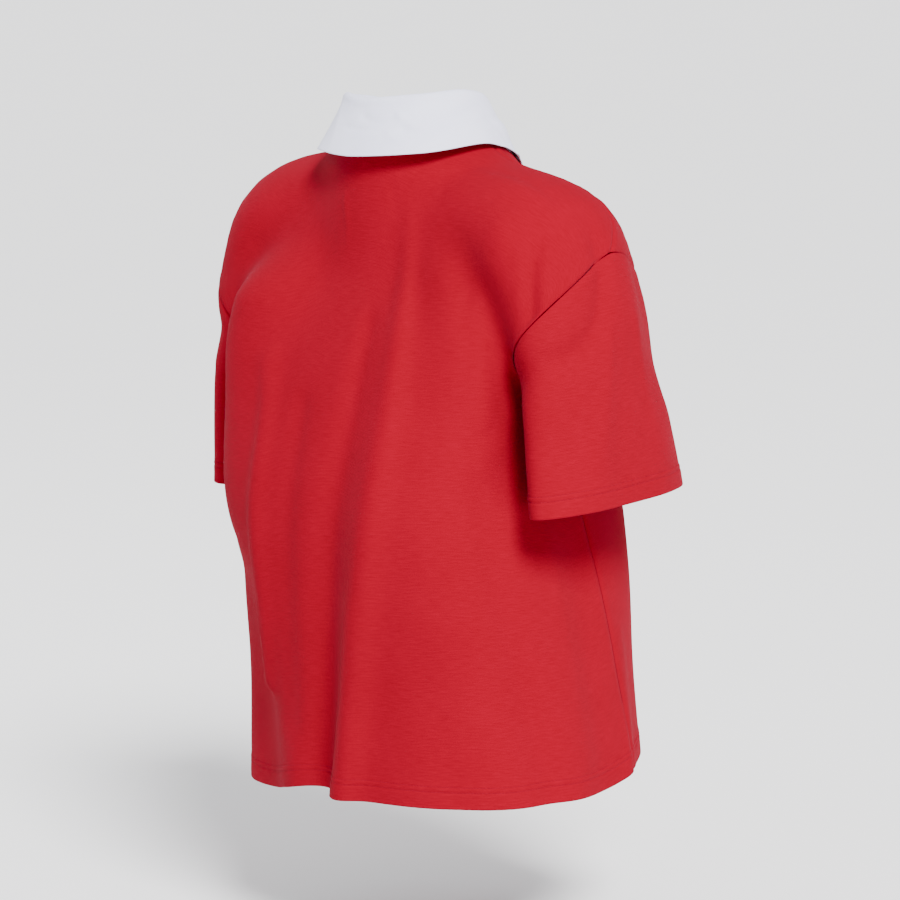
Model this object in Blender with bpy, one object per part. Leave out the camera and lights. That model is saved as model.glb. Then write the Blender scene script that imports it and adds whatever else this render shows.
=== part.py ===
"""Cropped polo shirt, filled out as when it is worn, with nobody in it.

Metres, +Z up. The shirt faces -Y, its right sleeve is at -X, and the origin lies
in the middle of the neck, level with the top of the shoulders.

The cloth follows one form: a body tube, two bent arm tubes and a neck, blended
into each other, with the drape folds added to them. Each piece is a grid between
its seams, laid on that form and given the thickness of its cloth inwards. Pieces
that are sewn together take their edges from the same seam points.
"""
import math

import bmesh
import bpy
import numpy as np
from mathutils import Vector

SHIRT_NAME = "cropped_polo_shirt"

# Cloth
KNIT_WALL = 0.0022
COLLAR_WALL = 0.0014
SEAM_GAP = 0.0003
SLEEVE_DRAW = 0.0005

# Grid of each piece: steps along its seams
SIDE_SEAM_STEPS = 13
ARMHOLE_STEPS = 10
SHOULDER_STEPS = 8
BACK_NECK_STEPS = 14
FRONT_NECK_HALF_STEPS = 9
SLEEVE_STEPS = 9
# Rounds that spread a panel's points evenly over the form
EASE_ROUNDS = 8

# Body tube, a row for each level section
BODY_COLUMNS = ("height", "half_width", "back_depth", "front_depth", "centre_y", "squareness")
BODY_SECTIONS = (
    (-0.64, 0.184, 0.142, 0.144, 0.024, 2.4),
    (-0.56, 0.182, 0.142, 0.144, 0.023, 2.4),
    (-0.47, 0.176, 0.143, 0.144, 0.022, 2.5),
    (-0.38, 0.168, 0.149, 0.145, 0.021, 2.9),
    (-0.30, 0.157, 0.149, 0.143, 0.018, 3.2),
    (-0.22, 0.151, 0.131, 0.134, 0.013, 2.8),
    (-0.15, 0.150, 0.108, 0.114, 0.008, 2.5),
    (-0.10, 0.138, 0.084, 0.092, 0.004, 2.3),
    (-0.06, 0.105, 0.062, 0.066, 0.001, 2.2),
    (-0.03, 0.060, 0.045, 0.048, 0.000, 2.0),
)
BODY_TOP = -0.045

# Arm tube, a row for each station from the neck to past the cuff
ARM_COLUMNS = ("along", "out", "height", "centre_y", "thick_radius", "fore_radius")
ARM_STATIONS = (
    (0.00, 0.030, -0.060, 0.005, 0.056, 0.062),
    (0.07, 0.098, -0.064, 0.005, 0.055, 0.067),
    (0.13, 0.152, -0.079, 0.003, 0.053, 0.075),
    (0.19, 0.181, -0.130, 0.003, 0.045, 0.076),
    (0.26, 0.194, -0.202, 0.002, 0.036, 0.082),
    (0.33, 0.199, -0.278, 0.000, 0.033, 0.089),
    (0.40, 0.202, -0.348, -0.003, 0.031, 0.093),
)

# Neck
NECK_RADIUS_ACROSS = 0.073
NECK_RADIUS_FORE = 0.075
NECK_CENTRE_Y = 0.0
NECK_TOP = 0.016

# How softly the tubes run into each other
ARM_BLEND_COLUMNS = ("height", "softness")
ARM_BLENDS = ((-0.30, 0.005), (-0.235, 0.006), (-0.20, 0.024), (-0.16, 0.042), (-0.10, 0.048))
NECK_BLEND = 0.026
# Below this height the panels leave the arm tubes
UNDERARM_HEIGHT = -0.232

# Drape folds: each row is one fold through three points, turn from the centre back
# (round the arm: from its outer side to the back) and height; a rise below zero is a hollow
FOLD_COLUMNS = (
    "turn_1", "height_1", "turn_2", "height_2", "turn_3", "height_3",
    "width_1", "width_3", "rise_1", "rise_3",
)
BODY_FOLDS = (
    (36, -0.06, 25, -0.30, 9, -0.60, 0.020, 0.024, 0.003, 0.013),
    (22, -0.22, 10, -0.38, -7, -0.60, 0.020, 0.034, -0.002, -0.021),
    (-20, -0.07, -20, -0.28, -34, -0.46, 0.018, 0.022, 0.004, 0.006),
    (-36, -0.16, -40, -0.30, -44, -0.44, 0.018, 0.024, -0.005, -0.006),
    (57, -0.25, 65, -0.38, 76, -0.56, 0.018, 0.022, -0.003, -0.006),
    (76, -0.10, 72, -0.16, 67, -0.24, 0.016, 0.022, 0.005, 0.003),
    (96, -0.36, 98, -0.48, 100, -0.60, 0.022, 0.028, -0.003, -0.007),
    (126, -0.34, 128, -0.48, 130, -0.60, 0.024, 0.032, 0.003, 0.012),
    (158, -0.22, 156, -0.40, 154, -0.60, 0.024, 0.034, -0.003, -0.012),
    (192, -0.24, 190, -0.42, 186, -0.60, 0.022, 0.032, 0.004, 0.010),
    (228, -0.28, 226, -0.44, 222, -0.60, 0.020, 0.032, -0.004, -0.014),
    (256, -0.32, 258, -0.46, 256, -0.60, 0.024, 0.030, 0.003, 0.009),
    (283, -0.10, 288, -0.16, 293, -0.24, 0.016, 0.022, 0.005, 0.003),
    (300, -0.40, 298, -0.50, 300, -0.60, 0.022, 0.028, 0.002, 0.008),
)
RIGHT_ARM_FOLDS = (
    (4, -0.105, 34, -0.155, 92, -0.185, 0.016, 0.020, -0.004, -0.006),
    (20, -0.19, 40, -0.24, 60, -0.33, 0.018, 0.022, 0.002, 0.004),
    (-60, -0.12, -70, -0.17, -92, -0.21, 0.016, 0.020, -0.003, -0.006),
)
LEFT_ARM_FOLDS = (
    (8, -0.110, 40, -0.150, 90, -0.180, 0.016, 0.020, -0.003, -0.006),
    (26, -0.20, 34, -0.25, 48, -0.33, 0.018, 0.022, 0.002, 0.003),
    (-56, -0.125, -74, -0.17, -94, -0.20, 0.016, 0.020, -0.003, -0.006),
)
FOLD_RADIUS_BODY = 0.165
FOLD_RADIUS_ARM = 0.065
FOLD_STEPS = 8

# Neckline seam, a row for each turn from the centre back
NECKLINE_COLUMNS = ("turn", "height")
NECKLINE_HEIGHTS = (
    (0, 0.004), (45, 0.002), (90, -0.002), (120, -0.016), (150, -0.042), (180, -0.056),
)
SHOULDER_TURN = 97.0

# Shoulder seam, a row for each point between the neckline and the armhole
SHOULDER_COLUMNS = ("share", "out", "y", "height")
SHOULDER_POINTS = (
    (0.35, 0.125, -0.018, -0.024),
    (0.70, 0.188, -0.029, -0.058),
)

# Armhole and cuff: rays from the arm's middle, a row for each turn from the outer side
RING_COLUMNS = ("turn", "out", "back", "up")
ARMHOLE_ALONG = 0.160
ARMHOLE_RAYS = (
    (0, 0.92, -0.13, 0.31),
    (90, 0.18, 0.84, -0.52),
    (120, -0.07, 0.66, -0.75),
    (150, -0.12, 0.37, -0.92),
    (180, -0.12, -0.02, -0.99),
    (210, -0.15, -0.36, -0.92),
    (240, -0.15, -0.62, -0.77),
    (270, 0.08, -0.90, -0.38),
)
CUFF_ALONG = 0.360
CUFF_RAYS = (
    (0, 0.98, 0.00, 0.06),
    (90, 0.00, 0.99, 0.00),
    (180, -0.98, 0.00, -0.06),
    (270, 0.00, -0.99, 0.00),
)

# Hem, a row for each turn round the body from the centre back
HEM_COLUMNS = ("turn", "height")
HEM_HEIGHTS = (
    (0, -0.561), (45, -0.565), (90, -0.573), (135, -0.563),
    (180, -0.555), (225, -0.559), (270, -0.570), (315, -0.573),
)
SIDE_SEAM_COLUMNS = ("share", "turn")
SIDE_SEAM_TURNS = ((0.0, 115.0), (0.45, 107.0), (1.0, 97.0))

# Placket at the centre front
PLACKET_SHARE = 0.029
SLIT_SHARE = 0.0014
PLACKET_LENGTH = 0.140
PLACKET_WALL = 0.0016
BUTTON_HEIGHTS = (-0.092, -0.134, -0.176)
BUTTON_RADIUS = 0.0057
BUTTON_THICKNESS = 0.0026
BUTTON_LIFT = 0.0006

# Collar: a row for each turn from the centre back to the centre front
COLLAR_COLUMNS = ("turn", "fold_height", "fold_radius", "fall", "flare", "edge_turn")
COLLAR_SECTIONS = (
    (0, 0.049, 0.0640, 0.052, 0.026, 0),
    (45, 0.052, 0.0640, 0.053, 0.027, 45),
    (90, 0.050, 0.0610, 0.050, 0.023, 92),
    (120, 0.038, 0.0570, 0.056, 0.020, 118),
    (150, 0.009, 0.0575, 0.064, 0.020, 138),
    (180, -0.021, 0.0630, 0.072, 0.020, 153),
)
COLLAR_CLEARANCE = 0.0040
STAND_LEAF_GAP = 0.0009
STAND_STEPS = 2
FOLD_OVER = 0.0030
INNER_LEG = 0.009
LEAF_FALL_STEPS = 4


class Table:
    """Rows with named columns, read on a smooth curve along the first column."""

    def __init__(self, columns, rows, period=None):
        values = np.array(rows, dtype=float)
        if period:
            before, after = values.copy(), values.copy()
            before[:, 0] -= period
            after[:, 0] += period
            values = np.vstack((before, values, after))
        self.values = values[np.argsort(values[:, 0])]
        self.columns = columns
        self.slopes = np.gradient(self.values, self.values[:, 0], axis=0)

    def at(self, name, station):
        """The named column at each station."""
        column = self.columns.index(name)
        knots, heights, slopes = self.values[:, 0], self.values[:, column], self.slopes[:, column]
        place = np.clip(np.asarray(station, dtype=float), knots[0], knots[-1])
        row = np.clip(np.searchsorted(knots, place) - 1, 0, len(knots) - 2)
        span = knots[row + 1] - knots[row]
        t = (place - knots[row]) / span
        rise = heights[row + 1] - heights[row]
        bend = t * (1 - t)
        return (heights[row] + rise * t * t * (3 - 2 * t)
                + span * bend * ((1 - t) * slopes[row] - t * slopes[row + 1]))


BODY = Table(BODY_COLUMNS, BODY_SECTIONS)
BLEND = Table(ARM_BLEND_COLUMNS, ARM_BLENDS)
COLLAR = Table(COLLAR_COLUMNS, COLLAR_SECTIONS)
HEM = Table(HEM_COLUMNS, HEM_HEIGHTS, period=360)
ARM = Table(ARM_COLUMNS, ARM_STATIONS)
ARMHOLE = Table(RING_COLUMNS, ARMHOLE_RAYS, period=360)
CUFF = Table(RING_COLUMNS, CUFF_RAYS, period=360)


def tube_field(across, fore, radius_across, radius_fore, power=2.0):
    """How far a point lies outside a tube's section, negative inside."""
    reach = np.hypot(across, fore) + 1e-9
    ratio = (np.abs(across / radius_across) ** power
             + np.abs(fore / radius_fore) ** power) ** (1 / power) + 1e-9
    return reach - reach / ratio


def body_field(points):
    """The body tube, closed under the shoulders."""
    x, y, z = points.T
    fore = y - BODY.at("centre_y", z)
    depth = np.where(fore > 0, BODY.at("back_depth", z), BODY.at("front_depth", z))
    side = tube_field(x, fore, BODY.at("half_width", z), depth, BODY.at("squareness", z))
    turn = np.degrees(np.arctan2(-x, fore))
    return np.maximum(side - fold_rise(BODY_FOLDS, turn, z, FOLD_RADIUS_BODY), z - BODY_TOP)


def fold_rise(folds, turn, height, radius):
    """How far the folds raise the cloth at each turn and height."""
    rise = np.zeros_like(turn)
    t = np.linspace(0, 1, FOLD_STEPS + 1)
    weights = ((1 - t) * (1 - 2 * t), 4 * t * (1 - t), t * (2 * t - 1))
    for row in folds:
        fold = dict(zip(FOLD_COLUMNS, row))
        line_turn = sum(w * fold[f"turn_{n}"] for n, w in enumerate(weights, 1))
        line_up = sum(w * fold[f"height_{n}"] for n, w in enumerate(weights, 1))
        off_turn = (turn[:, None] - line_turn[:-1] + 180) % 360 - 180
        across = np.radians(off_turn) * radius
        up = height[:, None] - line_up[:-1]
        step_across, step_up = np.radians(np.diff(line_turn)) * radius, np.diff(line_up)
        share = (across * step_across + up * step_up) / (step_across ** 2 + step_up ** 2)
        share = np.clip(share, 0, 1)
        away = np.hypot(across - share * step_across, up - share * step_up)
        near = np.argmin(away, axis=1)
        pick = np.arange(len(turn))
        place = (near + share[pick, near]) / FOLD_STEPS
        width = fold["width_1"] + (fold["width_3"] - fold["width_1"]) * place
        height_here = fold["rise_1"] + (fold["rise_3"] - fold["rise_1"]) * place
        rise += height_here * np.exp(-(away[pick, near] / width) ** 2)
    return rise


def arm_line(steps=36):
    """Points along the middle of the arm tube."""
    along = np.linspace(ARM.values[0, 0], ARM.values[-1, 0], steps + 1)
    return along, ARM.at("out", along), ARM.at("height", along)


def arm_field(points, side):
    """The arm tube on one side: side is -1 for the right arm and 1 for the left."""
    out, y, z = points[:, 0] * side, points[:, 1], points[:, 2]
    along, line_out, line_z = arm_line()
    step_out, step_z = np.diff(line_out), np.diff(line_z)
    length = np.hypot(step_out, step_z)
    t = ((out[:, None] - line_out[:-1]) * step_out + (z[:, None] - line_z[:-1]) * step_z) / length ** 2
    t = np.clip(t, 0, 1)
    gap_out = out[:, None] - line_out[:-1] - t * step_out
    gap_z = z[:, None] - line_z[:-1] - t * step_z
    gap = np.hypot(gap_out, gap_z)
    near = np.argmin(gap, axis=1)
    pick = np.arange(len(out))
    place = along[near] + t[pick, near] * (along[near + 1] - along[near])
    fore = y - ARM.at("centre_y", place)
    tube = tube_field(gap[pick, near], fore, ARM.at("thick_radius", place), ARM.at("fore_radius", place))
    outer = gap_out[pick, near] * -step_z[near] + gap_z[pick, near] * step_out[near]
    turn = np.degrees(np.arctan2(fore, np.sign(outer) * gap[pick, near]))
    folds = RIGHT_ARM_FOLDS if side < 0 else LEFT_ARM_FOLDS
    return tube - fold_rise(folds, turn, line_z[near], FOLD_RADIUS_ARM)


def neck_field(points):
    """The neck that the collar stands round."""
    x, y, z = points.T
    side = tube_field(x, y - NECK_CENTRE_Y, NECK_RADIUS_ACROSS, NECK_RADIUS_FORE)
    return np.maximum(side, z - NECK_TOP)


def blended(first, second, softness):
    """Two fields joined, with a soft hollow where they meet."""
    share = np.clip(0.5 + 0.5 * (second - first) / softness, 0, 1)
    return second + (first - second) * share - softness * share * (1 - share)


def form_field(points):
    """The whole form that the cloth lies on."""
    field = body_field(points)
    softness = BLEND.at("softness", points[:, 2])
    below = np.maximum(0, UNDERARM_HEIGHT - points[:, 2])
    for side in (-1, 1):
        field = blended(field, arm_field(points, side) + 2 * below, softness)
    return blended(field, neck_field(points), NECK_BLEND)


def form_slope(points, step=0.0006):
    """Slope of the form's field at each point."""
    slope = np.empty_like(points)
    for axis in range(3):
        shift = np.zeros(3)
        shift[axis] = step
        slope[:, axis] = (form_field(points + shift) - form_field(points - shift)) / (2 * step)
    return slope


def outward(points):
    """Directions that point out of the form."""
    slope = form_slope(points)
    return slope / (np.linalg.norm(slope, axis=1, keepdims=True) + 1e-12)


def laid_on_form(points, rounds=10, longest_step=0.012):
    """Points moved onto the form, straight towards or away from it."""
    points = points.copy()
    for _ in range(rounds):
        slope = form_slope(points)
        size = np.linalg.norm(slope, axis=1, keepdims=True) + 1e-9
        move = np.clip(form_field(points)[:, None] / size, -longest_step, longest_step)
        points -= move * slope / size
    return points


def first_exit(starts, directions, reach=0.30, steps=60, field=form_field):
    """Where rays from inside a field first leave it."""
    directions = directions / np.linalg.norm(directions, axis=1, keepdims=True)
    low, high = np.zeros(len(starts)), np.full(len(starts), reach)
    found = np.zeros(len(starts), dtype=bool)
    for step in range(1, steps + 1):
        distance = reach * step / steps
        outside = field(starts + directions * distance) > 0
        new = outside & ~found
        high[new], low[new] = distance, distance - reach / steps
        found |= new
    for _ in range(18):
        middle = 0.5 * (low + high)
        outside = field(starts + directions * middle[:, None]) > 0
        high = np.where(outside, middle, high)
        low = np.where(outside, low, middle)
    return starts + directions * (0.5 * (low + high))[:, None]


def evenly(points, steps):
    """The same line with its points at even distances."""
    return at_shares(points, np.linspace(0, 1, steps + 1))


def at_shares(points, shares):
    """Points at given shares of a line's length."""
    run = np.concatenate(([0], np.cumsum(np.linalg.norm(np.diff(points, axis=0), axis=1))))
    marks = np.asarray(shares) * run[-1]
    return np.column_stack([np.interp(marks, run, points[:, axis]) for axis in range(3)])


def neckline(turns):
    """Points of the neckline seam at turns from the centre back towards the right."""
    turns = np.asarray(turns, dtype=float)
    height = Table(NECKLINE_COLUMNS, NECKLINE_HEIGHTS).at("height", np.abs(turns))
    angle = np.radians(turns)
    starts = np.column_stack((np.zeros_like(angle), np.full_like(angle, NECK_CENTRE_Y), height))
    rays = np.column_stack((-np.sin(angle), np.cos(angle), np.zeros_like(angle)))
    return first_exit(starts, rays)


def arm_middle(side, along):
    """A point in the middle of the arm tube."""
    return np.array((side * ARM.at("out", along), ARM.at("centre_y", along), ARM.at("height", along)))


def ring(side, centre, rays, turns):
    """Rays round an arm, from the outer side to the back, the inside and the front."""
    turns = np.asarray(turns, dtype=float)
    out, back, up = (rays.at(name, turns) for name in ("out", "back", "up"))
    return np.tile(centre, (len(turns), 1)), np.column_stack((side * out, back, up))


def armhole_half(side, front):
    """Armhole seam from under the arm up to the shoulder's tip."""
    turns = np.linspace(180, 360 if front else 0, 61)
    line = first_exit(*ring(side, arm_middle(side, ARMHOLE_ALONG), ARMHOLE, turns))
    return laid_on_form(evenly(line, ARMHOLE_STEPS))


def shoulder_seam(side):
    """Shoulder seam from the armhole to the neckline."""
    tip = first_exit(*ring(side, arm_middle(side, ARMHOLE_ALONG), ARMHOLE, [0]))[0]
    neck = neckline([-side * SHOULDER_TURN])[0]
    ends = [(share, side * x, y, z) for share, (x, y, z) in ((0.0, neck), (1.0, tip))]
    path = Table(SHOULDER_COLUMNS, [ends[0], *SHOULDER_POINTS, ends[1]])
    share = np.linspace(1, 0, 41)
    line = np.column_stack([path.at(name, share) for name in SHOULDER_COLUMNS[1:]]) * (side, 1, 1)
    line = laid_on_form(line)
    line[0], line[-1] = tip, neck
    line = laid_on_form(evenly(line, SHOULDER_STEPS))
    line[0], line[-1] = tip, neck
    return line


def around_body(turns, heights):
    """Points on the body tube at turns from the centre back towards the right."""
    angle = np.radians(turns)
    starts = np.column_stack((np.zeros_like(angle), BODY.at("centre_y", heights), heights))
    rays = np.column_stack((-np.sin(angle), np.cos(angle), np.zeros_like(angle)))
    return first_exit(starts, rays, field=body_field)


def side_seam(side):
    """Side seam from the hem up to the armhole."""
    under = first_exit(*ring(side, arm_middle(side, ARMHOLE_ALONG), ARMHOLE, [180]))[0]
    swing = Table(SIDE_SEAM_COLUMNS, SIDE_SEAM_TURNS)
    share = np.linspace(0, 1, 41)
    turns = swing.at("turn", share)
    under_turn = math.degrees(math.atan2(abs(under[0]), under[1] - BODY.at("centre_y", under[2])))
    turns += (under_turn - turns[-1]) * share ** 2
    start = HEM.at("height", (-side * turns[0]) % 360)
    heights = start + (under[2] - start) * share
    line = around_body(-side * turns, heights)
    line[-1] = under
    line = evenly(line, SIDE_SEAM_STEPS)
    line[1:-1] = laid_on_form(line[1:-1])
    return line


def hem_line(front, shares):
    """Hem from the left side seam to the right one, at shares of its length."""
    turn = SIDE_SEAM_TURNS[0][1]
    turns = np.linspace(-turn, turn - 360 if front else turn, 121)
    line = at_shares(around_body(turns, HEM.at("height", turns % 360)), shares)
    line[1:-1] = around_body(*turns_and_heights(line[1:-1]))
    return line


def turns_and_heights(points):
    """Turn from the centre back, and height, of points on the body."""
    turns = np.degrees(np.arctan2(-points[:, 0], points[:, 1] - BODY.at("centre_y", points[:, 2])))
    return turns, points[:, 2]


def top_line(front):
    """Left shoulder seam, neckline and right shoulder seam, and the columns' shares of it."""
    left, right = shoulder_seam(1), shoulder_seam(-1)[::-1]
    turns = np.linspace(-SHOULDER_TURN, SHOULDER_TURN - 360 if front else SHOULDER_TURN, 121)
    neck = neckline((turns + 180) % 360 - 180)
    line = np.vstack((left, neck[1:-1], right))
    corner = share_along(line)[SHOULDER_STEPS]
    shoulder = np.linspace(0, corner, SHOULDER_STEPS + 1)
    if front:
        half = np.linspace(corner, 0.5 - PLACKET_SHARE, FRONT_NECK_HALF_STEPS)[1:]
        half = np.concatenate((half, [0.5 - SLIT_SHARE]))
    else:
        half = np.linspace(corner, 0.5, BACK_NECK_STEPS // 2 + 1)[1:-1]
    left_shares = np.concatenate((shoulder, half))
    middle = [] if front else [0.5]
    shares = np.concatenate((left_shares, middle, 1 - left_shares[::-1]))
    return at_shares(line, shares), shares


def share_along(points):
    """Share of the whole length that lies before each point of a line."""
    run = np.concatenate(([0], np.cumsum(np.linalg.norm(np.diff(points, axis=0), axis=1))))
    return run / run[-1]


def patch(bottom, top, left, right, shares):
    """Grid of points between four seams, laid on the form."""
    u = shares[:, None, None]
    v = 0.5 * (share_along(left) + share_along(right))[None, :, None]
    grid = ((1 - v) * bottom[:, None] + v * top[:, None] + (1 - u) * left[None] + u * right[None]
            - (1 - u) * (1 - v) * bottom[0] - u * (1 - v) * bottom[-1]
            - (1 - u) * v * top[0] - u * v * top[-1])
    inner = grid[1:-1, 1:-1]
    grid[1:-1, 1:-1] = laid_on_form(inner.reshape(-1, 3), rounds=14).reshape(inner.shape)
    for _ in range(EASE_ROUNDS):
        eased = 0.5 * (between(grid, u, 0) + between(grid, v, 1))
        grid[1:-1, 1:-1] = laid_on_form(eased.reshape(-1, 3), rounds=3).reshape(inner.shape)
    return grid


def between(grid, shares, axis):
    """Where the inner points would lie on straight lines between their neighbours."""
    near = np.take(shares, range(1, shares.shape[axis] - 1), axis) - np.take(
        shares, range(0, shares.shape[axis] - 2), axis)
    whole = np.take(shares, range(2, shares.shape[axis]), axis) - np.take(
        shares, range(0, shares.shape[axis] - 2), axis)
    share = near / whole
    if axis == 0:
        return grid[:-2, 1:-1] * (1 - share) + grid[2:, 1:-1] * share
    return grid[1:-1, :-2] * (1 - share) + grid[1:-1, 2:] * share


def panel_points(front):
    """Points of the front or the back, columns from left to right, rows from the hem up."""
    edges = []
    for side in (1, -1):
        edges.append(np.vstack((side_seam(side), armhole_half(side, front)[1:])))
    left, right = edges
    top, shares = top_line(front)
    bottom = hem_line(front, shares)
    top[0], top[-1] = left[-1], right[-1]
    bottom[0], bottom[-1] = left[0], right[0]
    return patch(bottom, top, left, right, shares)


def sleeve_points(side):
    """Points of a sleeve, columns round the arm from under it, rows down to the cuff."""
    seam = np.vstack((armhole_half(side, False), armhole_half(side, True)[::-1][1:]))
    hole_turns = ring_turns(side, seam)
    cuff_turns = np.linspace(180, -180, len(seam))

    def arm_only(points):
        return arm_field(points, side)

    rows = []
    for share in np.linspace(0, 1, SLEEVE_STEPS + 1):
        along = ARMHOLE_ALONG + (CUFF_ALONG - ARMHOLE_ALONG) * share
        centre = arm_middle(side, along)
        turns = hole_turns * (1 - share) + cuff_turns * share
        starts, hole_rays = ring(side, centre, ARMHOLE, turns)
        rays = hole_rays * (1 - share) + ring(side, centre, CUFF, turns)[1] * share
        rows.append(first_exit(starts, rays, reach=0.16, field=arm_only))
    off_seam = seam - rows[0]
    fade = 3 + 7 * (hole_turns[:, None] / 180) ** 2
    for number, row in enumerate(rows):
        row += off_seam * (1 - number / SLEEVE_STEPS) ** fade
    return np.stack(rows, axis=1)


def ring_turns(side, seam):
    """The turn of the armhole ray that each seam point lies on."""
    turns = np.linspace(180, -180, 361)
    line = first_exit(*ring(side, arm_middle(side, ARMHOLE_ALONG), ARMHOLE, turns))
    found = []
    for number, point in enumerate(seam):
        low, high = (0, 181) if number <= ARMHOLE_STEPS else (180, 361)
        nearest = np.argmin(np.linalg.norm(line[low:high] - point, axis=1)) + low
        found.append(turns[nearest])
    found[0], found[-1] = 180, -180
    return np.array(found)


def edge_gaps(grid, seams, draw=0.5 * SEAM_GAP):
    """The grid with each sewn edge drawn back."""
    grid = grid.copy()
    whole = grid.copy()
    for edge, inner, name in (((0, slice(None)), (1, slice(None)), "left"),
                              ((-1, slice(None)), (-2, slice(None)), "right"),
                              ((slice(None), 0), (slice(None), 1), "bottom"),
                              ((slice(None), -1), (slice(None), -2), "top")):
        if name in seams:
            away = whole[inner] - whole[edge]
            grid[edge] += draw * away / np.linalg.norm(away, axis=-1, keepdims=True)
    return grid


def sheet_outward(grid):
    """Directions square to a grid of points."""
    along = np.gradient(grid, axis=0)
    down = np.gradient(grid, axis=1)
    square = np.cross(along, down)
    return square / np.linalg.norm(square, axis=-1, keepdims=True)


def walled(name, outer, inner, collection, closed=False, slit=None):
    """A closed wall between an outer and an inner grid of points.

    slit is the first of two columns, and the row from which the wall is open between them.
    """
    columns, rows = outer.shape[:2]
    work = bmesh.new()
    bmesh.ops.create_grid(work, x_segments=columns - 1, y_segments=rows - 1, size=1.0)
    place = work.verts.layers.int.new("place")
    for number, vertex in enumerate(work.verts):
        row, column = divmod(number, columns)
        vertex[place] = column * rows + row
        vertex.co = outer[column, row]
    if slit:
        column, first_row = slit
        edges = {number * rows + row for number in (column, column + 1) for row in range(first_row, rows)}
        gone = [face for face in work.faces if all(vertex[place] in edges for vertex in face.verts)]
        bmesh.ops.delete(work, geom=gone, context="FACES")
    if closed:
        bmesh.ops.remove_doubles(work, verts=work.verts[:], dist=1e-6)
    flat_inner = inner.reshape(-1, 3)
    made = bmesh.ops.extrude_face_region(work, geom=work.faces[:], use_keep_orig=True)
    for item in made["geom"]:
        if isinstance(item, bmesh.types.BMVert):
            item.co = flat_inner[item[place]]
    bmesh.ops.recalc_face_normals(work, faces=work.faces[:])
    mesh = bpy.data.meshes.new(name)
    work.to_mesh(mesh)
    work.free()
    mesh.shade_smooth()
    piece = bpy.data.objects.new(name, mesh)
    collection.objects.link(piece)
    return piece


def inner_grid(grid, wall=KNIT_WALL):
    """The inner face of a wall whose outer face is the grid."""
    flat = grid.reshape(-1, 3)
    return (flat - wall * outward(flat)).reshape(grid.shape)


def moved_out(grid, distance):
    """A grid of points moved out of the form."""
    return inner_grid(grid, -distance)


def build_panel(name, outer, collection, slit=None):
    """One panel of the body."""
    inner = inner_grid(outer)
    seams = ("left", "right", "top")
    return walled(name, edge_gaps(outer, seams), edge_gaps(inner, seams), collection, slit=slit)


def build_sleeve(name, side, collection):
    """One sleeve."""
    outer = sleeve_points(side)
    inner = inner_grid(outer)
    outer[-1], inner[-1] = outer[0], inner[0]
    faces = [edge_gaps(grid, ("bottom",), SLEEVE_DRAW) for grid in (outer, inner)]
    return walled(name, *faces, collection, closed=True)


def slit_place(front):
    """The column left of the slit, and the row that the slit starts from."""
    column = SHOULDER_STEPS + FRONT_NECK_HALF_STEPS
    depth = front[column, -1, 2] - front[column, :, 2]
    return column, int(np.argmin(np.abs(depth - PLACKET_LENGTH)))


def build_placket(front, collection):
    """The two placket bands, over and under the slit, made from the front's own points."""
    column, row = slit_place(front)
    strip = front[column - 1:column + 3, row - 1:]
    top_back = moved_out(strip, SEAM_GAP)
    top_face = moved_out(strip, SEAM_GAP + PLACKET_WALL)
    top = walled("placket_top", top_face, top_back, collection)
    under_face = inner_grid(strip, KNIT_WALL + SEAM_GAP)
    under_back = inner_grid(strip, KNIT_WALL + SEAM_GAP + PLACKET_WALL)
    under = walled("placket_under", under_face, under_back, collection)
    return [top, under]


def build_button(name, height, collection):
    """A plain round button on the upper placket band."""
    start = np.array(((0.0, BODY.at("centre_y", height), height),))
    point = first_exit(start, np.array(((0.0, -1.0, 0.0),)))
    out = outward(point)[0]
    lift = SEAM_GAP + PLACKET_WALL + BUTTON_LIFT + 0.5 * BUTTON_THICKNESS
    centre = point[0] + lift * out
    work = bmesh.new()
    bmesh.ops.create_cone(work, cap_ends=True, segments=20, radius1=BUTTON_RADIUS,
                          radius2=BUTTON_RADIUS, depth=BUTTON_THICKNESS)
    rims = [edge for edge in work.edges if abs(edge.verts[0].co.z - edge.verts[1].co.z) < 1e-6]
    bmesh.ops.bevel(work, geom=rims, offset=0.0006, segments=2, profile=0.5, affect="EDGES", material=-1)
    mesh = bpy.data.meshes.new(name)
    work.to_mesh(mesh)
    work.free()
    button = bpy.data.objects.new(name, mesh)
    button.location = centre
    button.rotation_euler = Vector(out).to_track_quat("Z", "Y").to_euler()
    collection.objects.link(button)
    return button


def neck_ring(back, front):
    """Neckline points from the left of the slit round the back to the right of it."""
    column = SHOULDER_STEPS + FRONT_NECK_HALF_STEPS
    left = front[SHOULDER_STEPS:column + 1, -1][::-1]
    middle = back[SHOULDER_STEPS:-SHOULDER_STEPS, -1]
    right = front[column + 1:-SHOULDER_STEPS, -1][::-1]
    return np.vstack((left, middle[1:-1], right))


def collar_turns(ring):
    """The turn from the centre back of each point of the neckline."""
    return np.degrees(np.arctan2(-ring[:, 0], ring[:, 1] - NECK_CENTRE_Y))


def on_collar(turns, radius, height):
    """Points at a distance from the neck's axis."""
    angle = np.radians(turns)
    return np.column_stack((-np.sin(angle) * radius, NECK_CENTRE_Y + np.cos(angle) * radius, height))


def build_stand(ring, collection):
    """The collar stand, a band from the neckline up to the collar's fold."""
    turns = collar_turns(ring)
    level = np.abs(turns)
    base = ring + (0, 0, SEAM_GAP)
    top = on_collar(turns, COLLAR.at("fold_radius", level), COLLAR.at("fold_height", level) - FOLD_OVER)
    shares = np.linspace(0, 1, STAND_STEPS + 1)
    outer = np.stack([base * (1 - share) + top * share for share in shares], axis=1)
    axis = outer * (0, 0, 1) + (0, NECK_CENTRE_Y, 0)
    radial = outer - axis
    inner = outer - COLLAR_WALL * radial / np.linalg.norm(radial, axis=-1, keepdims=True)
    return walled("collar_stand", outer, inner, collection)


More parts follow.
